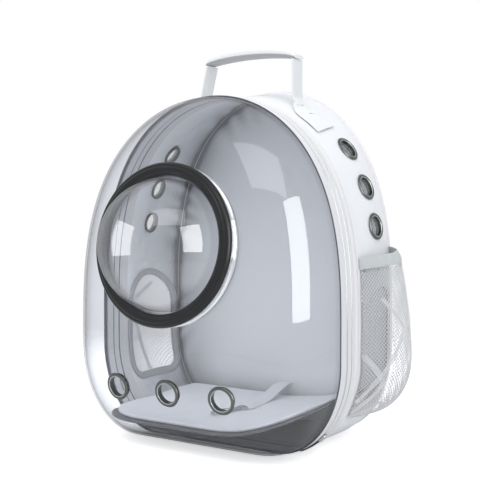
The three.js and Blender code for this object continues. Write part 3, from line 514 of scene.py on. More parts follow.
def outline(y, out=0.0, count=AROUND):
    """Closed outline (x, z) at a depth from the middle of the base round to the right, moved outward"""
    width, height = float(width_at(y)), float(height_at(y))
    turn = np.linspace(0, np.pi / 2, 400)
    rise = np.pi / 2 * np.linspace(0, 1, 700) ** 1.6
    half = np.concatenate([
        np.stack([np.linspace(0, FLAT_HALF, 60, endpoint=False), np.zeros(60)], -1),
        np.stack([FLAT_HALF + (width - FLAT_HALF) * np.sin(turn), CORNER_RISE * (1 - np.cos(turn))], -1),
        np.stack([width * np.cos(rise),
                  SHOULDER_START + (height - SHOULDER_START) * np.sin(rise) ** (2 / SHOULDER_POWER)], -1)])
    half = resample(half, count // 2 + 1)
    loop = np.concatenate([half[:-1], (half * (-1, 1))[::-1][:-1]])
    along = np.roll(loop, -1, 0) - np.roll(loop, 1, 0)
    along /= np.linalg.norm(along, axis=1, keepdims=True)
    moved = loop + out * np.stack([along[:, 1], -along[:, 0]], -1)
    moved[:, 1] = np.maximum(moved[:, 1], 0)
    return moved


def ring(y, out=0.0, count=AROUND):
    """The outline as points in space; y may follow the points"""
    loop = outline(float(np.mean(y)), out, count)
    return np.stack([loop[:, 0], np.broadcast_to(y, count), loop[:, 1]], -1)


def band(name, section, material, nodes, count=AROUND, angle=50):
    """A ring round the body with a closed section of (depth, outward) points"""
    loops = np.stack([ring(y, out, count) for y, out in section])
    faces = grid_faces(len(section), count, True, True)
    return piece(name, loops.reshape(-1, 3), faces, material, nodes, angle=angle)


def round_section(front, back, low, high, edge=0.8, crown=0.0):
    """A flat band section with rounded outer edges and an optional crown"""
    top = [(front + edge + (back - front - 2 * edge) * s, high + crown * math.sin(math.pi * s))
           for s in np.linspace(0, 1, 7)]
    return [(front, low), (front, high - edge), (front + edge * 0.3, high - edge * 0.3), *top,
            (back - edge * 0.3, high - edge * 0.3), (back, high - edge), (back, low)]


print("perimeter mm", round(float(np.linalg.norm(np.diff(outline(0), axis=0), axis=1).sum())))

# %% [markdown]
# ## Clear shell
# The front is one moulded sheet of clear plastic. A stretched sphere would be too pointed, so the depth
# falls from the middle to the rim as (1 - r^3.7)^0.4, which is flat in front and steep at the edge. A
# short neck with a rounded foot carries the dome's ring, and three holes take the eyelets.

# %% Shell surface
SHELL_INSET, SHELL_DEPTH, SHELL_THICK, SHELL_LEAN, SHELL_CENTRE = 1.8, 102, 2.0, 0.053, 170
EDGE_POWER, FACE_POWER = 3.7, 2.5
RING_AT = np.array([0, -106.0, 246.0])
RING_TILT = math.radians(7.5)
RING_AXIS = np.array([0, -math.cos(RING_TILT), math.sin(RING_TILT)])
DOME_RADIUS, DOME_HEIGHT, DOME_FLANGE, DOME_THICK = 76.7, 67.4, 85.2, 2
RING_WIDTH, RING_SECTION, NECK_THICK = 15.7, 12.4, 2.0
RING_MIDDLE = DOME_RADIUS + GAP + RING_WIDTH / 2
NECK_INNER = RING_MIDDLE + (RING_WIDTH - RING_SECTION) / 2
NECK_TOP = -RING_SECTION / 2 - GAP
EYELET_UP, EYELET_STEP = 77.6, 72.5
EYELET_RADIUS, EYELET_BORE, HOLE_RADIUS = 16.3, 12, 13.3


def boundary(inset):
    """Distance from the shell's centre to its edge by direction, as sorted (angle, distance)"""
    loop = outline(0, -SHELL_INSET - inset, 1200) - (0, SHELL_CENTRE)
    angle = np.arctan2(loop[:, 1], loop[:, 0])
    order = np.argsort(angle)
    return angle[order], np.hypot(*loop.T)[order]


EDGES = {inset: boundary(inset) for inset in (0.0, SHELL_THICK)}


def shell_depth(x, z, inset=0.0):
    """How far the shell stands before the rim plane: (102 - lean - inset)(1 - r^3.7)^0.4"""
    above = z - SHELL_CENTRE
    reach = np.interp(np.arctan2(above, x), *EDGES[inset], period=2 * np.pi)
    share = np.clip(np.hypot(x, above) / reach, 0, 1)
    lean = SHELL_LEAN * (np.hypot(above, 60) + above) / 2
    return (SHELL_DEPTH - lean - inset) * (1 - share ** EDGE_POWER) ** (1 / FACE_POWER)


def shell_normal(x, z):
    """Outward unit normal of the shell by central differences"""
    step = 3.0
    across = (shell_depth(x + step, z) - shell_depth(x - step, z)) / (2 * step)
    rise = (shell_depth(x, z + step) - shell_depth(x, z - step)) / (2 * step)
    normal = np.array([-across, -1.0, -rise])
    return normal / np.linalg.norm(normal)


def shell_layer(radius, inset, spokes=288, rows=64, foot=5.0):
    """Rows from the neck's top down its side, round the foot and out to the rim"""
    turn = 2 * np.pi * np.arange(spokes) / spokes
    side, up = np.array([1.0, 0, 0]), np.cross([1.0, 0, 0], RING_AXIS)
    spoke = np.cos(turn)[:, None] * side + np.sin(turn)[:, None] * up
    top = RING_AT + radius * spoke + NECK_TOP * RING_AXIS
    low, high = np.zeros(spokes), np.full(spokes, 60.0)
    for _ in range(30):
        middle = (low + high) / 2
        point = top - middle[:, None] * RING_AXIS
        before = -point[:, 1] > shell_depth(point[:, 0], point[:, 2], inset)
        low, high = np.where(before, middle, low), np.where(before, high, middle)
    corner = top - low[:, None] * RING_AXIS
    start = corner + np.minimum(foot, low * 0.8)[:, None] * RING_AXIS
    out = spoke[:, [0, 2]] / np.linalg.norm(spoke[:, [0, 2]], axis=1, keepdims=True)
    plan = corner[:, [0, 2]] + foot * out
    beyond = np.stack([plan[:, 0], -shell_depth(*plan.T, inset), plan[:, 1]], -1)
    walls = [top + (start - top) * s for s in np.linspace(0, 1, 5)]
    for s in np.linspace(0, 1, 8)[1:]:
        walls.append(start * (1 - s) ** 2 + 2 * corner * s * (1 - s) + beyond * s ** 2)
    angle = np.arctan2(plan[:, 1] - RING_AT[2], plan[:, 0])
    loop = outline(0, -SHELL_INSET - inset, 1200)
    seen = np.unwrap(np.arctan2(loop[:, 1] - RING_AT[2], loop[:, 0]))
    order = np.argsort(seen % (2 * np.pi))
    edge = np.stack([np.interp(angle % (2 * np.pi), (seen % (2 * np.pi))[order], loop[order, k],
                               period=2 * np.pi) for k in (0, 1)], -1)
    for s in 1 - (1 - np.linspace(0, 1, rows)[1:]) ** 2.2:
        at = plan + (edge - plan) * s
        depth = shell_depth(*at.T, inset) if s < 1 else np.zeros(spokes)
        walls.append(np.stack([at[:, 0], -depth, at[:, 1]], -1))
    return np.stack(walls)


HOLE_CUT = 14.2
NECK_REACH = NECK_INNER + NECK_THICK + 3
eyelet_places = []
for x in (-EYELET_STEP, 0, EYELET_STEP):
    at = np.array([x, -float(shell_depth(x, EYELET_UP)), EYELET_UP])
    eyelet_places.append((at, shell_normal(x, EYELET_UP)))


def outside_eyelets(middles):
    """Quads that stay: those whose middle is further than HOLE_CUT from each front eyelet's place"""
    stay = np.ones(len(middles), bool)
    for at, _ in eyelet_places:
        stay &= np.linalg.norm(middles - at, axis=1) > HOLE_CUT
    return stay


outer = shell_layer(NECK_INNER + NECK_THICK, 0.0)
inner = shell_layer(NECK_INNER, SHELL_THICK)
points, faces, _ = two_sided(outer, inner, wrap_columns=True, keep=outside_eyelets)
shell = piece("shell", points, faces, SHELL_CLEAR, ["front_shell"], angle=60)
# The neck carries painted reflections of the studio: a darker clear on its left half and a paler, glossier
# one on its right
shell.data.materials.append(NECK_PAINTED_DARK_REFLECTION)
shell.data.materials.append(NECK_PAINTED_REFLECTION)
for polygon in shell.data.polygons:
    away = np.array(polygon.center) * 1000 + (0, BASE_MIDDLE, 0) - RING_AT
    along = float(away @ RING_AXIS)
    if along < 0 and np.linalg.norm(away - along * RING_AXIS) < NECK_REACH:
        polygon.material_index = 1 if away[0] < 0 else 2
print("shell quads", len(faces))

# %% Dome and ring
def turned(name, profile, origin, axis, material, nodes, count=144, angle=40):
    """A closed ring-shaped piece turned round an axis"""
    loops = revolve(profile, origin, axis, count)
    faces = grid_faces(len(profile), count, True, True)
    return piece(name, loops.reshape(-1, 3), faces, material, nodes, angle=angle)


def cap(radius):
    """Half a section of the dome, from the ring's plane to its top, as (radius, height)"""
    start = math.asin(-dome_centre / radius)
    turns = start + (math.pi / 2 - start) * np.linspace(0, 1, 40)
    return [(max(radius * math.cos(t), 0.15), dome_centre + radius * math.sin(t)) for t in turns]


dome_sphere = (DOME_RADIUS ** 2 + DOME_HEIGHT ** 2) / (2 * DOME_HEIGHT)
dome_centre = DOME_HEIGHT - dome_sphere
outside, inside = cap(dome_sphere), cap(dome_sphere - DOME_THICK)
low = NECK_TOP - DOME_THICK
profile = [(inside[0][0], low), (DOME_FLANGE, low), (DOME_FLANGE, NECK_TOP), (DOME_RADIUS, NECK_TOP)]
profile += outside + inside[::-1]
dome = turned("dome", profile, RING_AT, RING_AXIS, DOME_CLEAR, ["bubble_dome"])
dome_only.objects.link(dome)

# The rubber ring has two rounded ridges with a groove between them
GROOVE_DEPTH, GROOVE_AT, GROOVE_WIDE = 0.9, 1.15, 0.16
turn = np.linspace(0, 2 * np.pi, 72, endpoint=False)
groove = GROOVE_DEPTH * np.exp(-((turn - GROOVE_AT) / GROOVE_WIDE) ** 2)
profile = np.stack([RING_MIDDLE + (RING_WIDTH / 2 - groove) * np.cos(turn),
                    (RING_SECTION / 2 - groove) * np.sin(turn)], -1)
turned("rubber_ring", profile, RING_AT, RING_AXIS, RUBBER, ["bubble_ring"], angle=70)
print("dome and ring made")

# %% [markdown]
# ## Eyelets
# A real eyelet is pressed from sheet metal: a domed flange, a barrel through the wall and a washer
# inside. All of that is round, so one profile turned round the axis gives it, and a second small
# profile gives the bright lip at the bore.

# %% Eyelets
def eyelet_profile(wall):
    """Flange, barrel and washer as one closed profile (radius, height)"""
    inside = -wall - 2.8
    barrel = EYELET_BORE + 1
    flange = [(EYELET_BORE, 0.9)]
    for t in np.linspace(0, 1, 12):
        radius = EYELET_BORE + 0.6 + (EYELET_RADIUS - EYELET_BORE - 0.6) * t
        flange.append((radius, 0.35 + 1.65 * math.sin(math.pi * (0.16 + 0.84 * t)) ** 0.75))
    return [(EYELET_BORE, inside - 0.9), *flange, (EYELET_RADIUS - 0.2, 0.3), (barrel, 0.3), (barrel, inside),
            (EYELET_RADIUS - 2, inside), (EYELET_RADIUS - 2.4, inside - 0.9)]


def lip_profile():
    """The bright rolled lip at the bore"""
    return [(EYELET_BORE + 0.55 + 0.55 * math.cos(t), 1.0 + 0.5 * math.sin(t))
            for t in np.linspace(0, 2 * np.pi, 12, endpoint=False)]


def add_eyelet(name, at, axis, wall, node):
    """An eyelet and its lip at a place on a wall of that thickness"""
    turned(name, eyelet_profile(wall), at, axis, GUNMETAL, [node], count=48, angle=50)
    turned(name + "_lip", lip_profile(), at, axis, BRIGHT_METAL, [], count=48, angle=70)


for word, (at, axis) in zip(("left", "middle", "right"), eyelet_places):
    add_eyelet("front_eyelet_ring_" + word, at, axis, SHELL_THICK, "front_eyelet_" + word)

SIDE_EYELET_BACK = 90
SIDE_EYELET_UPS = [356.7, 310.7, 264.0]


def side_normal(y, z):
    """Outward unit normal of the right side by central differences"""
    step = 2.0
    rise = (side_x(y, z + step) - side_x(y, z - step)) / (2 * step)
    back = (side_x(y + step, z) - side_x(y - step, z)) / (2 * step)
    normal = np.array([1.0, -back, -rise])
    return normal / np.linalg.norm(normal)


side_places = []
for word, side in SIDES:
    for k, up in enumerate(SIDE_EYELET_UPS):
        at = np.array([side * float(side_x(SIDE_EYELET_BACK, up)), SIDE_EYELET_BACK, up])
        axis = side_normal(SIDE_EYELET_BACK, up) * (side, 1, 1)
        side_places.append((word, k + 1, at, axis))
        add_eyelet(f"side_eyelet_ring_{word}_{k + 1}", at, axis, WALL_THICK, f"side_eyelet_{word}_{k + 1}")
print("eyelets", len(eyelet_places) + len(side_places))

# %% [markdown]
# ## Bands between shell and wall
# From front to back lie a binding, a zip, a band, a second zip, a narrow band and a piping, all sewn
# round the body. Curves with a bevel would twist at the corners, so each band is a small closed section
# of (depth, outward) points carried round the outline.

# %% Bands
BINDING_SECTION = [(-4, -1.5), (-4.1, -0.7), (-3.5, -0.1), (-2, 0), (1, 0.05), (4, 0), (8, 0), (10.6, -0.1),
                   (11, -0.6), (11, -3.8), (0.3, -3.8), (0.3, -1.5)]
# piece, front, back, low, high, edge, crown, material, slot, node
BANDS = [
    ("zip_one", 11.3, 13.3, -3, -0.8, 0.3, 0, ZIP_TAPE, "zip_tape", "front_zip"),
    ("wide_band", 13.6, 22.6, -3, 0, 0.7, 0, BINDING, "binding", "zip_band"),
    ("zip_two", 22.9, 24.5, -3, -0.8, 0.3, 0, ZIP_TAPE, "zip_tape", "rear_zip"),
    ("thin_band", 24.8, 30.8, -3, 0, 0.7, 0, BINDING, "binding", "narrow_band"),
    ("piping", 31.1, 40.6, -3, 0.2, 1.0, 1.3, PIPING, "white_leather", "front_piping"),
    ("rear_piping", 147.2, 153.2, -3, 0.4, 1.0, 1.6, PIPING, "white_leather", "back_piping"),
]
binding = band("binding", BINDING_SECTION, BINDING, ["shell_binding"])
# Its faces over the rim take a dark material, a painted shadow along the shell's edge
binding.data.materials.append(RIM_SHADOW)
for polygon in list(binding.data.polygons)[:2 * AROUND] + list(binding.data.polygons)[-AROUND:]:
    polygon.material_index = 1
for name, *sizes, material, slot, node in BANDS:
    band(name, round_section(*sizes), material, [node])


def stitches(name, rings, material, length=3.0, gap=1.4, radius=0.32):
    """Short threads that lie along rings of (depth, outward)"""
    parts = []
    for y, out in rings:
        path = ring(y, out, 1800)
        gone = np.linalg.norm(np.diff(path, axis=0, append=path[:1]), axis=1).cumsum()
        count = int(gone[-1] / (length + gap))
        ends = np.arange(count) * gone[-1] / count
        for from_end, to_end in zip(ends, ends + length):
            ask = np.linspace(from_end, to_end, 3)
            line = np.stack([np.interp(ask, gone, path[:, k]) for k in range(3)], -1)
            parts.append(tube_faces(sweep(line, circle(radius, 4), (0, 1, 0))))
    points, faces = join(parts)
    points[:, 2] = np.maximum(points[:, 2], 0)
    return piece(name, points, faces, material, angle=80, close=False)


stitches("binding_stitches", [(9.2, 0.12)], THREAD)
stitches("zip_teeth_front", [(12.3, -0.7)], BRIGHT_METAL, 0.8, 0.9, 0.42)
stitches("zip_teeth_rear", [(23.7, -0.7)], BRIGHT_METAL, 0.8, 0.9, 0.36)
print("bands made")

# %% [markdown]
# ## Cloth wall
# The body is one strip of coated cloth all round, with an arched window and three eyelet holes on each
# side. A boolean cut would leave ragged faces, so the grid points next to a hole's edge are moved onto
# it and the quads inside are left out. Waves of about a millimetre make it look like cloth.

# %% Side wall
WINDOW_FRONT, WINDOW_BACK, WINDOW_LOW, WINDOW_TOP, WINDOW_CORNER = 50, 138, 58, 192, 16
WINDOW_MIDDLE, WINDOW_UP = (WINDOW_FRONT + WINDOW_BACK) / 2, (WINDOW_LOW + WINDOW_TOP) / 2
WINDOW_HALF = (WINDOW_BACK - WINDOW_FRONT) / 2
SPRING = WINDOW_TOP - WINDOW_HALF
BODY_CENTRE = (0, 94, 200)
BACK_FRONT, BACK_THICK = 147.2, 3.0
EDGE_CELL, SLOPE_STEP = 1.25, 0.5
# The outer faces take a little painted shade, and the wall under a pocket a deeper painted shadow
OUTSIDE_PAINTED_SHADE, POCKET_PAINTED_SHADOW = 0.16, 0.5


def window_distance(y, z):
    """Signed distance to the window's arch, negative inside it"""
    upper = np.hypot(y - WINDOW_MIDDLE, z - SPRING) - WINDOW_HALF
    across = abs(y - WINDOW_MIDDLE) - (WINDOW_HALF - WINDOW_CORNER)
    below = WINDOW_LOW + WINDOW_CORNER - z
    lower = np.hypot(np.maximum(across, 0), np.maximum(below, 0)) + np.minimum(np.maximum(across, below), 0)
    return np.where(z > SPRING, upper, lower - WINDOW_CORNER)


def hole_distance(y, z):
    """Signed distance to the nearest eyelet hole or window edge of one side"""
    holes = [np.hypot(y - SIDE_EYELET_BACK, (z - up) * 1.03) - HOLE_RADIUS for up in SIDE_EYELET_UPS]
    return np.minimum.reduce([*holes, window_distance(y, z)])


def ripples(y, z, side, size):
    """Soft waves of cloth in millimetres, from four slanted sine waves"""
    wave = np.sin(0.061 * z + 0.043 * y + side) + 0.7 * np.sin(0.113 * z - 0.087 * y + 2.1 * side)
    wave = wave + 0.5 * np.sin(0.031 * z + 0.19 * y + 0.6) + 0.4 * np.sin(0.21 * z + 0.05 * y)
    return size * wave / 2.6


def on_sides(points):
    """True on the upright part of a side: |x| over 120 and z over 40"""
    return (abs(points[..., 0]) > 120) & (points[..., 2] > 40)


def outside_holes(middles):
    """Quads that stay: those outside the windows and the eyelet holes"""
    return ~(on_sides(middles) & (hole_distance(middles[:, 1], middles[:, 2]) < 0))


wall_depths = np.linspace(WALL_FRONT, WALL_BACK, 52)
outer = np.stack([ring(y, 0.0) for y in wall_depths])
inner = np.stack([ring(y, -WALL_THICK) for y in wall_depths])
on_side = on_sides(outer)
y, z = outer[..., 1].copy(), outer[..., 2].copy()
for _ in range(2):
    away = hole_distance(y, z)
    slope_y = (hole_distance(y + SLOPE_STEP, z) - hole_distance(y - SLOPE_STEP, z)) / (2 * SLOPE_STEP)
    slope_z = (hole_distance(y, z + SLOPE_STEP) - hole_distance(y, z - SLOPE_STEP)) / (2 * SLOPE_STEP)
    size = np.maximum(slope_y ** 2 + slope_z ** 2, 0.2)
    near = on_side & (abs(away) < EDGE_CELL)
    y = np.where(near, y - away * slope_y / size, y)
    z = np.where(near, z - away * slope_z / size, z)
moved = near | (abs(y - outer[..., 1]) + abs(z - outer[..., 2]) > 1e-6)
side = np.sign(outer[..., 0])
outer = np.where(moved[..., None], np.stack([side * side_x(y, z), y, z], -1), outer)
outward = normals(outer)
outward *= np.sign((outward * (outer - BODY_CENTRE) * (1, 0, 1)).sum(-1, keepdims=True))
# The waves fade towards the sewn edges, the holes and the base
fade = np.sin(np.pi * wall_share(outer[..., 1])) ** 0.6
hold = np.clip(hole_distance(outer[..., 1], outer[..., 2]) / 12, 0, 1)
calm = fade * np.where(on_side, hold, 1) * np.clip(outer[..., 2] / 30, 0, 1)
waves = ripples(outer[..., 1], outer[..., 2] + outer[..., 0], side, 0.7) * calm
outer_soft = outer + outward * waves[..., None]
dents = ripples(1.9 * outer[..., 1], 1.7 * outer[..., 2], side + 1, 1.6) * calm
inner_soft = np.where(moved[..., None], outer - outward * WALL_THICK, inner) + outward * dents[..., None]


def soft_step(value, low, high):
    """A smooth rise from 0 at low to 1 at high: 3 s^2 - 2 s^3"""
    share = np.clip((value - low) / (high - low), 0, 1)
    return share * share * (3 - 2 * share)


def painted_corner_shade(points):
    """Painted shade of the inside: deep at the back corner on the left and the top, with painted creases
    along it and a faint band near the base
    """
    loop = outline(WALL_BACK, -WALL_THICK, 300)
    inward = np.concatenate([np.sqrt(((part[:, None, (0, 2)] - loop) ** 2).sum(-1)).min(1)
                             for part in np.array_split(points, 20)])
    gap = np.hypot(BACK_FRONT - points[:, 1], inward)
    angle = np.arctan2(points[:, 2] - 200, points[:, 0])
    crease = 0.5 + 0.5 * np.sin(31 * angle + 4 * np.sin(7 * angle) + 0.05 * gap)
    fine = 0.5 + 0.5 * np.sin(0.9 * gap + 5 * np.sin(13 * angle))
    where = np.maximum(1 - soft_step(points[:, 0], -60, 60), 0.75 * soft_step(points[:, 2], 300, 400))
    deep = 0.75 * np.exp(-(gap / 7) ** 2) + 0.35 * crease * np.exp(-(gap / 22) ** 2)
    wide = 0.30 * np.exp(-(gap / 62) ** 2) + 0.10 * fine * np.exp(-(gap / 30) ** 2)
    low = 0.16 * np.exp(-((points[:, 2] - 32) / 26) ** 2)
    return np.clip((deep + wide) * (0.12 + 0.88 * where) + low, 0, 0.95)


points, faces, used = two_sided(outer_soft, inner_soft, wrap_columns=True, keep=outside_holes)
wall = piece("cloth_wall", points, faces, BODY_CLOTH_PAINTED_SHADE, ["side_wall"], angle=60)
# Painted shade: a little on the outside, a painted shadow under the pockets, deep at the inside's back corner
y, z = outer_soft[..., 1], outer_soft[..., 2]
under_pocket_painted_shadow = on_side & (y > 47) & (y < 142) & (z > 42) & (z < 216)
outside_shade = np.where(under_pocket_painted_shadow, POCKET_PAINTED_SHADOW, OUTSIDE_PAINTED_SHADE)
inside_shade = painted_corner_shade(inner_soft.reshape(-1, 3))
shade(wall, np.concatenate([outside_shade.ravel(), inside_shade])[used])
print("wall quads", len(faces))

# %% [markdown]
# ## Nets
# The windows, the side eyelets and the pockets have knitted net. A see-through picture could stand for
# it, but real threads catch the light and cover each other as they turn, so each net is a set of
# three-sided strands along level, upright or slanted lines, cut to an outline.

# %% Nets
NET_REACH, FOLD_SPACING = 150, 0.95


def net(name, families, inside, to_space, across, material, nodes, radius=0.3, step=3.0, folds=()):
    """Strands along straight lines of a flat plan, which to_space bends into place: families are
    (direction in degrees, spacing), and folds are smooth lines where five strands lie close together"""
    lines = []
    for fold in folds:
        line = spline(fold, 40)
        along = np.gradient(line, axis=0)
        along /= np.linalg.norm(along, axis=1, keepdims=True)
        cross = np.stack([-along[:, 1], along[:, 0]], -1)
        lines += [line + offset * cross for offset in np.arange(-2, 3) * FOLD_SPACING]
    for degrees, spacing in families:
        c, s = math.cos(math.radians(degrees)), math.sin(math.radians(degrees))
        run = np.arange(-NET_REACH - 10, NET_REACH + 10, step)[:, None] * np.array([c, s])
        for offset in np.arange(-NET_REACH, NET_REACH, spacing):
            line = run + offset * np.array([-s, c])
            stay = inside(*line.T)
            cuts = np.flatnonzero(np.diff(np.concatenate([[0], stay.astype(int), [0]])))
            lines += [line[start:end] for start, end in zip(cuts[::2], cuts[1::2]) if end - start > 1]
    points, faces = join([tube_faces(sweep(to_space(*line.T), circle(radius, 3), across)) for line in lines])
    print(name, "strands", len(lines), "faces", len(faces))
    return piece(name, points, faces, material, nodes, angle=180, close=False)


def in_window(y, z):
    """True up to 5 mm outside the window's edge, for places about its middle"""
    return window_distance(y + WINDOW_MIDDLE, z + WINDOW_UP) < 5


def window_space(side):
    """From (y, z) about the window's middle to points on the inside of the wall"""
    def to_space(y, z):
        y, z = y + WINDOW_MIDDLE, z + WINDOW_UP
        return np.stack([side * (side_x(y, z) - WALL_THICK - 0.8), y, z], -1)
    return to_space


for word, side in SIDES:
    net(f"window_mesh_{word}", [(0, 1.7), (90, 2.4)], in_window, window_space(side), (side, 0, 0.001),
        WINDOW_NET_PAINTED_SHADE, [f"window_net_{word}"], radius=0.30, step=4.0)

# The hem round each window, inside the wall, as (outward, depth) places along the window's edge
HEM_SECTION = ((-1.5, 4.5), (-1, 5.2), (3, 5.4), (6, 5.2), (6.8, 4.5), (6.8, 3.9), (-1.5, 3.9))
turn = np.linspace(0, np.pi, 60)
corner = np.linspace(0, np.pi / 2, 12)
low_y, high_y = WINDOW_FRONT + WINDOW_CORNER, WINDOW_BACK - WINDOW_CORNER
low_z = WINDOW_LOW + WINDOW_CORNER
arch = np.concatenate([
    np.stack([WINDOW_MIDDLE + WINDOW_HALF * np.cos(turn), SPRING + WINDOW_HALF * np.sin(turn)], -1),
    np.stack([low_y - WINDOW_CORNER * np.cos(corner), low_z - WINDOW_CORNER * np.sin(corner)], -1),
    np.stack([high_y + WINDOW_CORNER * np.sin(corner), low_z - WINDOW_CORNER * np.cos(corner)], -1)])
arch = resample(np.vstack([arch, arch[:1]]), 200)[:-1]
along = np.roll(arch, -1, 0) - np.roll(arch, 1, 0)
along /= np.linalg.norm(along, axis=1, keepdims=True)
outward = np.stack([along[:, 1], -along[:, 0]], -1)
outward *= np.sign(((arch - (WINDOW_MIDDLE, WINDOW_UP)) * outward).sum(1))[:, None]
for word, side in SIDES:
    loops = []
    for out, depth in HEM_SECTION:
        at = arch + outward * out
        loops.append(np.stack([side * (side_x(*at.T) - depth), *at.T], -1))
    piece(f"window_hem_{word}", np.concatenate(loops), grid_faces(len(loops), len(arch), True, True),
          GREY_LEATHER_AND_PAINTED_SHADE, angle=60)


def in_bore(u, v):
    """True inside an eyelet's barrel"""
    return np.hypot(u, v) < EYELET_BORE - 0.1


def disc_space(at, axis, wall):
    """From (u, v) on a disc across an eyelet's barrel to space"""
    axis, side, up = across_of(axis)
    return lambda u, v: at - wall * axis + u[:, None] * side + v[:, None] * up


for word, number, at, axis in side_places:
    net(f"eyelet_mesh_{word}_{number}", [(45, 1.5), (-45, 1.5)], in_bore, disc_space(at, axis, WALL_THICK),
        axis, EYELET_NET_PAINTED_SHADE, [f"side_eyelet_net_{word}_{number}"], radius=0.14, step=1.0)

# %% [markdown]
# ## Back panel
# The back is a plate sewn in along the rear piping, with soft creases towards its edge on the inside. A
# sculpted plane could show them, but shrunken copies of the body's own outline fit the edge exactly,
# and the creases are waves that live near it.

# %% Back panel
PANEL_CENTRE = np.array([0, 200.0])
edge_loop = outline(BACK_FRONT, -3.4)
count = len(edge_loop)
shares = 1 - (1 - np.linspace(0.02, 1, 44)) ** 1.3
angles = np.arctan2(edge_loop[:, 1] - PANEL_CENTRE[1], edge_loop[:, 0])
front, rear = [], []
for share in shares:
    at = PANEL_CENTRE + (edge_loop - PANEL_CENTRE) * share
    crease = 1.6 * np.sin(9 * angles + 3.1 * share) * np.sin(5 * angles + 1) + 0.9 * np.sin(23 * angles)
    crease = crease * np.exp(-((share - 0.9) / 0.09) ** 2)
    pillow = -1.5 * (1 - share ** 2) ** 0.5
    front.append(np.stack([at[:, 0], BACK_FRONT + pillow + crease * (share < 0.999), at[:, 1]], -1))
    rear.append(np.stack([at[:, 0], np.full(count, BACK_FRONT + BACK_THICK), at[:, 1]], -1))
points, faces, _ = two_sided(np.stack(front), np.stack(rear), wrap_columns=True)
faces = faces.tolist()
# A fan closes the middle of the front and of the rear
for base, row in ((0, front[0]), (len(shares) * count, rear[0])):
    faces += [[base + k, base + (k + 1) % count, len(points)] for k in range(count)]
    points = np.vstack([points, row.mean(0)])
panel = piece("back_cloth", points, faces, BODY_CLOTH_PAINTED_SHADE, ["back_panel"], angle=60)
# The panel's inside takes the painted corner shade and its rear the outside's painted shade
inside_shade = painted_corner_shade(np.concatenate(front))
outside_shade = np.full(len(inside_shade), OUTSIDE_PAINTED_SHADE)
shade(panel, np.concatenate([inside_shade, outside_shade, [inside_shade[:count].mean(), OUTSIDE_PAINTED_SHADE]]))
print("back panel faces", len(faces))

# %% [markdown]
# ## Floor board and mat
# A stiff board and a soft mat lie flat on the left and curl up into the right corner. Both are slabs
# between two grids: one function makes them, with tight edges for the board and round ones for the mat.

# %% Board and mat
BOARD_UP, BOARD_THICK, BOARD_CLEAR, MAT_THICK = 28, 3, 4.5, 5
CURL_RISE, CURL_START = 34, 25


def inside_half(up):
    """Half width of the room at a height, the lesser of the rim plane and the wall's back"""
    halves = []
    for y in (0.0, WALL_BACK):
        loop = outline(y, -SHELL_INSET - SHELL_THICK, 1200)
        right = loop[(loop[:, 0] > 60) & (loop[:, 1] < 120)]
        order = np.argsort(right[:, 1])
        halves.append(np.interp(up, right[order, 1], right[order, 0]))
    return min(halves)


LEFT_HALF = inside_half(BOARD_UP) - GAP
RIGHT_HALF = inside_half(BOARD_UP + CURL_RISE) - GAP


def curl(x):
    """Rise of the board: 34 ((x - 25) / (right half - 25))^2 on the right"""
    return CURL_RISE * np.clip((x - CURL_START) / (RIGHT_HALF - CURL_START), 0, None) ** 2


def curled(name, margin, back_margin, low, thick, round_by, material, node, weave=0.0):
    """A curled slab whose edges are rounded within round_by millimetres"""
    columns, rows = 120, 60
    across = -np.cos(np.pi * np.linspace(0, 1, columns))
    half = np.where(across < 0, LEFT_HALF, RIGHT_HALF)
    x = (half - margin - BOARD_CLEAR / 2 * (abs(across) < 1)) * across
    reach = x * half / (half - margin)
    room = shell_depth(reach, BOARD_UP + curl(reach), SHELL_THICK)
    front = np.minimum(-GAP, -room + BOARD_CLEAR + margin)
    front[[0, -1]] = 0
    back = WALL_BACK - GAP - back_margin
    share = (1 - np.cos(np.pi * np.linspace(0, 1, rows))) / 2
    y = front[:, None] + (back - front)[:, None] * share
    x = np.broadcast_to(x[:, None], y.shape)
    room = np.minimum(np.minimum(y - front[:, None], back - y), np.minimum(x - x.min(), x.max() - x))
    full = np.sqrt(1 - (1 - np.clip(room / round_by, 0, 1)) ** 2)
    full = np.maximum(full, 0.12)
    middle = low + thick / 2 + curl(x)
    soft = weave * (np.sin(0.09 * x + 0.07 * y) + np.sin(0.05 * y - 0.11 * x + 1)) * full
    top = np.stack([x, y, middle + thick / 2 * full + soft], -1)
    under = np.stack([x, y, middle - thick / 2 * full], -1)
    points, faces, _ = two_sided(top, under)
    return piece(name, points, faces, material, [node], angle=70)


curled("board", 0, 0, BOARD_UP, BOARD_THICK, 1.2, BOARD_CLOTH, "floor_board")
mat_low = BOARD_UP + BOARD_THICK + GAP
mat = curled("mat", 6, 8, mat_low, MAT_THICK, 3.0, MAT_CLOTH, "floor_mat", 0.35)
mat_top = mat_low + MAT_THICK
print("board and mat made, halves", round(float(LEFT_HALF), 1), round(float(RIGHT_HALF), 1))

# %% [markdown]
# ## Tether and hook
# A webbing strap runs from the back panel down onto the mat and ends in a swivel hook. It lies still,
# so a flat section carried along a drawn path gives it without a cloth simulation.

# %% Tether
TETHER_OUT, TETHER_RISE, TETHER_AT, TETHER_SWAY, TETHER_WIDTH, TETHER_THICK = 108, 13, 17, 4, 19, 1.6
# Shares of the way out and of the rise
TETHER_DROP = [(0, 1), (0.04, 1.02), (0.15, 0.96), (0.3, 0.72), (0.45, 0.38), (0.6, 0.12), (0.75, 0), (1, 0)]
tether_up = mat_top + GAP + TETHER_THICK / 2
tether_path = spline([(TETHER_AT + out * TETHER_SWAY, WALL_BACK - out * TETHER_OUT,
                       tether_up + rise * TETHER_RISE) for out, rise in TETHER_DROP], 60)
tube("tether_webbing", sweep(tether_path, pill(TETHER_WIDTH, TETHER_THICK, 20, 10), (1, 0, 0)),
     WEBBING, ["tether_strap"])

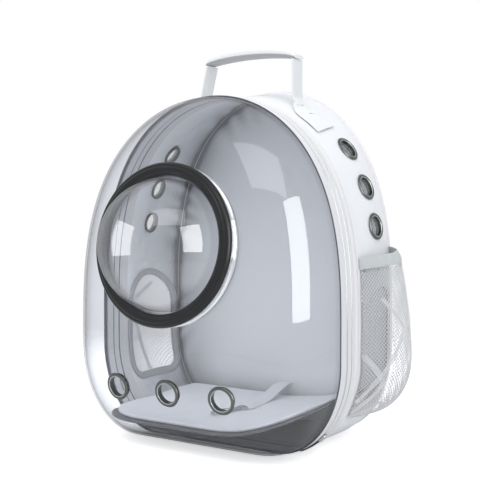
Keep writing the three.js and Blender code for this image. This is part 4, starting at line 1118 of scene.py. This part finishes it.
# %% Hook
HOOK_WIRE, HOOK_LENGTH, HOOK_WIDTH, HOOK_SWING = 3, 46, 13, math.radians(17)
hook_at = np.array([TETHER_AT + TETHER_SWAY, WALL_BACK - TETHER_OUT - GAP - HOOK_WIRE * 0.75,
                    mat_top + GAP + HOOK_WIRE * 0.9])


def hooked(points):
    """From the hook's own plane to its place: turned by the swing and moved to the strap's end"""
    c, s = math.cos(-HOOK_SWING), math.sin(-HOOK_SWING)
    x, y, z = np.moveaxis(np.asarray(points, float), -1, 0)
    return np.stack([c * x - s * y, s * x + c * y, z], -1) + hook_at


def oval(middle, half_x, half_y, steps=40):
    """An ellipse in the hook's plane"""
    turn = 2 * np.pi * np.arange(steps) / steps
    return np.stack([half_x * np.cos(turn), middle + half_y * np.sin(turn), 0 * turn], -1)


eye_half = HOOK_WIDTH / 2 - HOOK_WIRE
snap_half = HOOK_LENGTH / 3
stem_low = -2 * eye_half - snap_half
# The eye, the snap and the stem between them
parts = []
for oval_at, wire_radius in (((-eye_half, TETHER_WIDTH / 2 - HOOK_WIRE, eye_half), 1.3),
                             ((stem_low - snap_half, HOOK_WIDTH / 2 - 0.8, snap_half - 0.5), 1.5)):
    loops = sweep(oval(*oval_at), circle(wire_radius, 12), (0, 0, 1), True)
    parts.append(tube_faces(hooked(loops), True))
stem = resample(np.array([(0, 0.5 - 2 * eye_half, 0), (0, stem_low - 1, 0)]), 24)
radii = 2.6 - 0.7 * np.sin(np.pi * np.linspace(0, 1, 24)) ** 6
parts.append(tube_faces(hooked(sweep(stem, tapered(circle(1, 16), radii, radii), (0, 0, 1)))))
points, faces = join(parts)
piece("swivel_hook", points, faces, STEEL, ["tether_hook"])
print("tether made")

# %% [markdown]
# ## Handle
# The handle is a folded strap whose two feet are sewn flat over the shoulders, and a padded grip. A
# bent box would need many loops to lie on the curved cloth, so each leg is a section swept along a
# path, and its foot is then draped: its points move by the wall's own difference in height.

# %% Handle
HANDLE_SPAN, HANDLE_LEAN, HANDLE_SWAY, HANDLE_BACK, HANDLE_HEIGHT = 68, 5, 4.8, 82, 44
HANDLE_WIDTH, HANDLE_THICK, HANDLE_SEAT = 25, 2.6, 2.1
PATCH_START, PATCH_LENGTH = 8, 34
GRIP_WIDTH, GRIP_THICK, GRIP_ARCH = 27, 12, 5
# How far the foot spreads to the front, by its share along the wall, and how far it lies off the wall
FOOT_FLARE, FOOT_LIFT = ((0, 0.2, 0.38, 1), (0, 11, 18.5, 17)), 1.6
leg_foot = float(arch_height(HANDLE_SPAN, HANDLE_BACK))
leg_top = leg_foot + GAP + HANDLE_HEIGHT + HANDLE_WIDTH / 2
lift = HANDLE_THICK / 2 + HANDLE_SEAT
for word, side in SIDES:
    path = []
    for share in np.linspace(1, 0, 6):
        x = HANDLE_SPAN + PATCH_START + PATCH_LENGTH * share
        slope = float(arch_height(x + 2, HANDLE_BACK) - arch_height(x - 2, HANDLE_BACK)) / 4
        out = np.array([-slope, 0, 1]) / math.hypot(slope, 1) * lift
        path.append(np.array([x, HANDLE_BACK, float(arch_height(x, HANDLE_BACK))]) + out)
    path += [(HANDLE_SPAN + 2, HANDLE_BACK, leg_foot + 7), (HANDLE_SPAN, HANDLE_BACK, leg_foot + 16),
             (HANDLE_SPAN - HANDLE_LEAN + side * HANDLE_SWAY, HANDLE_BACK, leg_top)]
    smooth = spline(path, 80)
    share = np.clip((smooth[:, 0] - HANDLE_SPAN - PATCH_START) / PATCH_LENGTH, 0, 1)
    flare = np.interp(share, *FOOT_FLARE)
    smooth[:, 1] -= flare / 2
    section = tapered(pill(1, HANDLE_THICK, 36, 12), HANDLE_WIDTH + flare, 1 - 0.35 * (share > 0))
    loops = sweep(smooth, section, (0, 1, 0))
    x, y = loops[..., 0], loops[..., 1]
    lying = np.clip((x - HANDLE_SPAN - 4) / 6, 0, 1)
    loops[..., 2] -= lying * (arch_height(x, HANDLE_BACK) - arch_height(x, y) + lift - FOOT_LIFT)
    tube(f"handle_strap_{word}", loops * (side, 1, 1), LEATHER, [f"handle_leg_{word}"])

# The grip's section is flatter below than above, and thins towards its ends
half = HANDLE_SPAN - HANDLE_LEAN + HANDLE_THICK
share = np.sin(np.pi / 2 * np.linspace(-1, 1, 81))[:, None]
thick = GRIP_THICK * (1 - 0.4 * abs(share) ** 4) * np.sqrt(1 - 0.75 * abs(share) ** 24)
wide = GRIP_WIDTH * (1 - 0.12 * abs(share) ** 10)
c, s = circle(1, 36).T
below = s < 0
up = 0.42 + np.where(below, 0.42, 0.58) * np.sign(s) * abs(s) ** np.where(below, 0.9, 0.62)
loops = np.stack([HANDLE_SWAY + half * share + 0 * c, HANDLE_BACK + wide * (np.sign(c) * abs(c) ** 0.55 / 2),
                  leg_top + GAP + GRIP_ARCH * (1 - share ** 2) + thick * up], -1)
grip = tube("padded_grip", loops, LEATHER, ["handle_grip"])
# Its underside takes the grey as painted shade
grip.data.materials.append(GREY_LEATHER_AND_PAINTED_SHADE)
for polygon in grip.data.polygons:
    if polygon.normal.z < -0.35:
        polygon.material_index = 1
print("handle made")

# %% [markdown]
# ## Side pockets
# Each side has a bellied net pocket with an elastic hem. Its skin is one formula in two shares, along
# the depth and up the height, and both the threads and the ruffled hem are laid on it.

# %% Pockets
POCKET_FRONT, POCKET_BACK, POCKET_BULGE, POCKET_OFF = 44, 145, 31, 0.6
POCKET_LOW, POCKET_TOP = (38, 36), (215, 224)
POCKET_WIDE, POCKET_HIGH = POCKET_BACK - POCKET_FRONT, 182
HEM_HEIGHT, HEM_THICK = 13, 2.0
# Each fold as shares along the depth and up the height, and then in millimetres about the middle
FOLD_SHARES = [[(0.22, 0.8), (0.45, 0.62), (0.66, 0.42), (0.72, 0.2), (0.7, 0.08)],
               [(0.82, 0.76), (0.62, 0.64), (0.46, 0.56), (0.3, 0.4), (0.1, 0.2), (0.02, 0.12)],
               [(0.02, 0.44), (0.14, 0.34), (0.22, 0.24), (0.12, 0.12), (0.03, 0.05)]]
POCKET_FOLDS = [(np.array(fold) - 0.5) * (POCKET_WIDE, POCKET_HIGH) for fold in FOLD_SHARES]


def belly(along, up):
    """Share of the bulge: sin(pi a^1.3)^0.7 sin(0.8 pi u^0.45)"""
    deep = np.sin(np.pi * np.clip(along, 0, 1) ** 1.3) ** 0.7
    return deep * np.sin(0.8 * np.pi * np.clip(up, 0, 1) ** 0.45)


def pocket_point(along, up, side, out=0.0):
    """A point of the pocket's skin from its shares along the depth and up the height"""
    y = POCKET_FRONT + (POCKET_BACK - POCKET_FRONT) * along
    low = POCKET_LOW[0] + (POCKET_LOW[1] - POCKET_LOW[0]) * along
    top = POCKET_TOP[0] + (POCKET_TOP[1] - POCKET_TOP[0]) * along
    z = low + (top - low) * up
    x = side_x(y, z) + POCKET_OFF + POCKET_BULGE * belly(along, up) + out
    return np.stack([side * x, y, z], -1)


def in_pocket(y, z):
    """True on the pocket's flat plan, for places about its middle"""
    return (abs(y) < POCKET_WIDE / 2) & (abs(z) < POCKET_HIGH / 2)


def pocket_space(side):
    """From (y, z) about the pocket's middle to points on its skin"""
    return lambda y, z: pocket_point(y / POCKET_WIDE + 0.5, z / POCKET_HIGH + 0.5, side, 0.5)


along = np.linspace(0, 1, 90)[None, :]
up = np.linspace(0, 1, 20)[:, None]
ruffle = 0.9 * np.sin(46 * along + 1.5 * up) * np.sin(np.pi * up) ** 0.5 * np.sin(np.pi * along) ** 0.4
puff = HEM_THICK * (0.55 + 0.45 * np.sin(np.pi * np.clip(up, 0.02, 0.98)) ** 0.4)
for word, side in SIDES:
    net(f"pocket_mesh_{word}", [(56, 2.8), (-56, 2.8)], in_pocket, pocket_space(side), (side, 0, 0.001),
        NET, [f"pocket_net_{word}"], radius=0.45, step=4.5, folds=POCKET_FOLDS)
    foot = pocket_point(along + 0 * up, 1.0 + 0 * up, side)
    y, z = foot[..., 1], foot[..., 2] + GAP + HEM_HEIGHT * up
    x = side_x(y, z) + POCKET_OFF + POCKET_BULGE * belly(along, 1.0) * (1 - 0.25 * up)
    inner = np.stack([side * (x + ruffle * 0.6), y, z], -1)
    outer = np.stack([side * (x + ruffle + puff), y, z], -1)
    points, faces, _ = two_sided(outer, inner)
    piece(f"pocket_band_{word}", points, faces, HEM_CLOTH, [f"pocket_hem_{word}"], angle=60)
print("pockets made")

# %% [markdown]
# ## Shoulder straps
# Two padded straps bow away from the back, and webbing with a ladder buckle runs from each down to the
# base. All are sections swept along paths, and a buckle is five short bars of the same kind.

# %% Straps
STRAP_AT, STRAP_WIDTH, STRAP_THICK, STRAP_TOP, STRAP_LOW, STRAP_BOW, STRAP_SWING = 62, 58, 9, 388, 128, 34, 14
WEB_WIDTH, WEB_THICK, WEB_LOW, BUCKLE_WIDTH, BUCKLE_HIGH, BUCKLE_THICK, BAR = 25, 2, 22, 34, 26, 5, 5
strap_lift = STRAP_THICK / 2 + GAP
strap_back = BACK_FRONT + BACK_THICK + strap_lift
buckle_low = STRAP_LOW - GAP - BUCKLE_HIGH - 2
web_high = buckle_low - GAP


def buckle(word, x):
    """A ladder buckle: three level bars and two upright ones, each (half length, shift, section, across)"""
    middle = np.array([x, strap_back, buckle_low + BUCKLE_HIGH / 2])
    bars = [((BUCKLE_WIDTH / 2 - 1, 0, 0), (0, 0, shift), (BAR, BUCKLE_THICK * 0.8), (0, 0, 1))
            for shift in (BAR / 2 - BUCKLE_HIGH / 2, 0, BUCKLE_HIGH / 2 - BAR / 2)]
    bars += [((0, 0, BUCKLE_HIGH / 2 - GAP), (shift, 0, 0), (4, BUCKLE_THICK), (1, 0, 0))
             for shift in (2 - BUCKLE_WIDTH / 2, BUCKLE_WIDTH / 2 - 2)]
    parts = []
    for half, shift, (wide, thick), across in bars:
        ends = middle + shift + np.outer((-1, 1), half)
        parts.append(tube_faces(sweep(resample(ends, 8), pill(wide, thick, 14, 4), across)))
    points, faces = join(parts)
    piece(f"ladder_buckle_{word}", points, faces, PLASTIC, [f"strap_buckle_{word}"],
          angle=50)


share = np.linspace(0, 1, 90)
down = np.array([0, 0.35, 0.7, 1])
thins = np.sqrt(1 - 0.8 * abs(2 * share - 1) ** 30)
for word, side in SIDES:
    path = np.stack([side * (STRAP_AT + STRAP_SWING * np.sin(np.pi * share)),
                     strap_back + STRAP_BOW * np.sin(np.pi * share ** 0.8),
                     STRAP_TOP - (STRAP_TOP - STRAP_LOW) * share], -1)
    section = tapered(pill(STRAP_WIDTH, STRAP_THICK, 36, 7), 1, thins)
    strap = tube(f"padded_strap_{word}", sweep(path, section, (1, 0, 0)), LEATHER,
                 [f"shoulder_strap_{word}"])
    web = np.stack([np.full(4, side * STRAP_AT * 1.0), strap_back - (strap_lift - WEB_THICK / 2 - GAP) * down,
                    web_high - (web_high - WEB_LOW) * down], -1)
    tube(f"webbing_{word}", sweep(resample(web, 40), pill(WEB_WIDTH, WEB_THICK, 20, 10), (1, 0, 0)),
         WEBBING, [f"strap_webbing_{word}"])
    buckle(word, side * STRAP_AT)
print("straps made")

# %% [markdown]
# ## Zip slider and pull
# The slider sits on the front zip at the lower right corner and its flat pull lies along the zip. Both
# are short swept bars on a path round the corner, so they follow its curve.

# %% Slider
SLIDER_TURN, SLIDER_LONG, SLIDER_WIDE, SLIDER_THICK = math.radians(38), 12, 8, 3.5
PULL_LONG, PULL_WIDE, PULL_THICK, PULL_GAP = 30, 6, 2, 0.6
ZIP_MIDDLE = 12.3
CORNER_HALF = HALF_WIDTH - FLAT_HALF
CORNER_RADIUS = (CORNER_RISE + CORNER_HALF) / 2


def on_corner(turns, out, count):
    """An even path over the zip, round the lower right corner from the first angle to the last"""
    normal = np.stack([np.sin(turns) * CORNER_RISE, -np.cos(turns) * CORNER_HALF], -1)
    normal /= np.linalg.norm(normal, axis=1, keepdims=True)
    across = FLAT_HALF + CORNER_HALF * np.sin(turns) + normal[:, 0] * out
    up = CORNER_RISE * (1 - np.cos(turns)) + normal[:, 1] * out
    return resample(np.stack([across, np.full(len(up), ZIP_MIDDLE), up], -1), count)


half_turn = SLIDER_LONG / 2 / CORNER_RADIUS
path = on_corner([SLIDER_TURN + half_turn, SLIDER_TURN - half_turn], GAP + SLIDER_THICK / 2, 16)
taper = np.sqrt(1 - 0.7 * abs(np.linspace(-1, 1, 16)) ** 8)
section = tapered(pill(SLIDER_WIDE, SLIDER_THICK, 20, 4), taper, taper)
tube("slider", sweep(path, section, (0, 1, 0)), BRIGHT_METAL, ["zip_slider"], angle=40)
start = SLIDER_TURN - half_turn - PULL_GAP / CORNER_RADIUS
turns = start - np.linspace(0, 1, 12) * PULL_LONG / CORNER_RADIUS
path = on_corner(turns, GAP + PULL_THICK / 2, 40)
taper = np.sqrt(1 - 0.8 * abs(np.linspace(-1, 1, 40)) ** 14)
section = tapered(pill(PULL_WIDE, PULL_THICK, 16, 5), taper, 1)
tube("pull", sweep(path, section, (0, 1, 0)), PLASTIC, ["zip_pull"], angle=40)
print("slider made")

# %% [markdown]
# ## Floor and finish
# A pale floor takes the soft shadow. It fades to clear away from the carrier, so no edge shows against
# the white surround, and a glow that only the camera sees keeps it near white.

# %% Floor
FLOOR_LIFT, FLOOR_HALF = 0.60, 6.0


def fading_floor(name, near, far):
    """White near the carrier, clear beyond: the share is the distance from the middle between near and far"""
    mat = surface(name, (0.92, 0.92, 0.92), 0.8, 0.1)
    tree = mat.node_tree
    where = add_node(tree, "ShaderNodeTexCoord")
    length = add_node(tree, "ShaderNodeVectorMath", operation="LENGTH")
    share = add_node(tree, "ShaderNodeMapRange", interpolation_type="SMOOTHSTEP",
                     **{"From Min": near, "From Max": far})
    through = add_node(tree, "ShaderNodeBsdfTransparent")
    mix = add_node(tree, "ShaderNodeMixShader")
    seen = add_node(tree, "ShaderNodeLightPath")
    lift = add_node(tree, "ShaderNodeMath", operation="MULTIPLY")
    lift.inputs[1].default_value = FLOOR_LIFT
    glow = add_node(tree, "ShaderNodeEmission", Color=(1, 1, 1, 1))
    both = add_node(tree, "ShaderNodeAddShader")
    wire(tree, (seen.outputs["Is Camera Ray"], lift.inputs[0]), (lift.outputs[0], glow.inputs["Strength"]),
         (tree.nodes["Principled BSDF"].outputs[0], both.inputs[0]), (glow.outputs[0], both.inputs[1]),
         (where.outputs["Object"], length.inputs[0]), (length.outputs["Value"], share.inputs["Value"]),
         (share.outputs["Result"], mix.inputs[0]), (both.outputs[0], mix.inputs[1]),
         (through.outputs[0], mix.inputs[2]), (mix.outputs[0], tree.nodes["Material Output"].inputs[0]))
    return mat


mesh = bpy.data.meshes.new("floor")
corners = [(-1, -1), (1, -1), (1, 1), (-1, 1)]
mesh.from_pydata([(x * FLOOR_HALF, y * FLOOR_HALF, 0) for x, y in corners], [], [(0, 1, 2, 3)])
mesh.materials.append(fading_floor("floor_white", 0.45, 1.0))
floor = bpy.data.objects.new("floor", mesh)
scene.collection.objects.link(floor)
floor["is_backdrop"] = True

low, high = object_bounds()
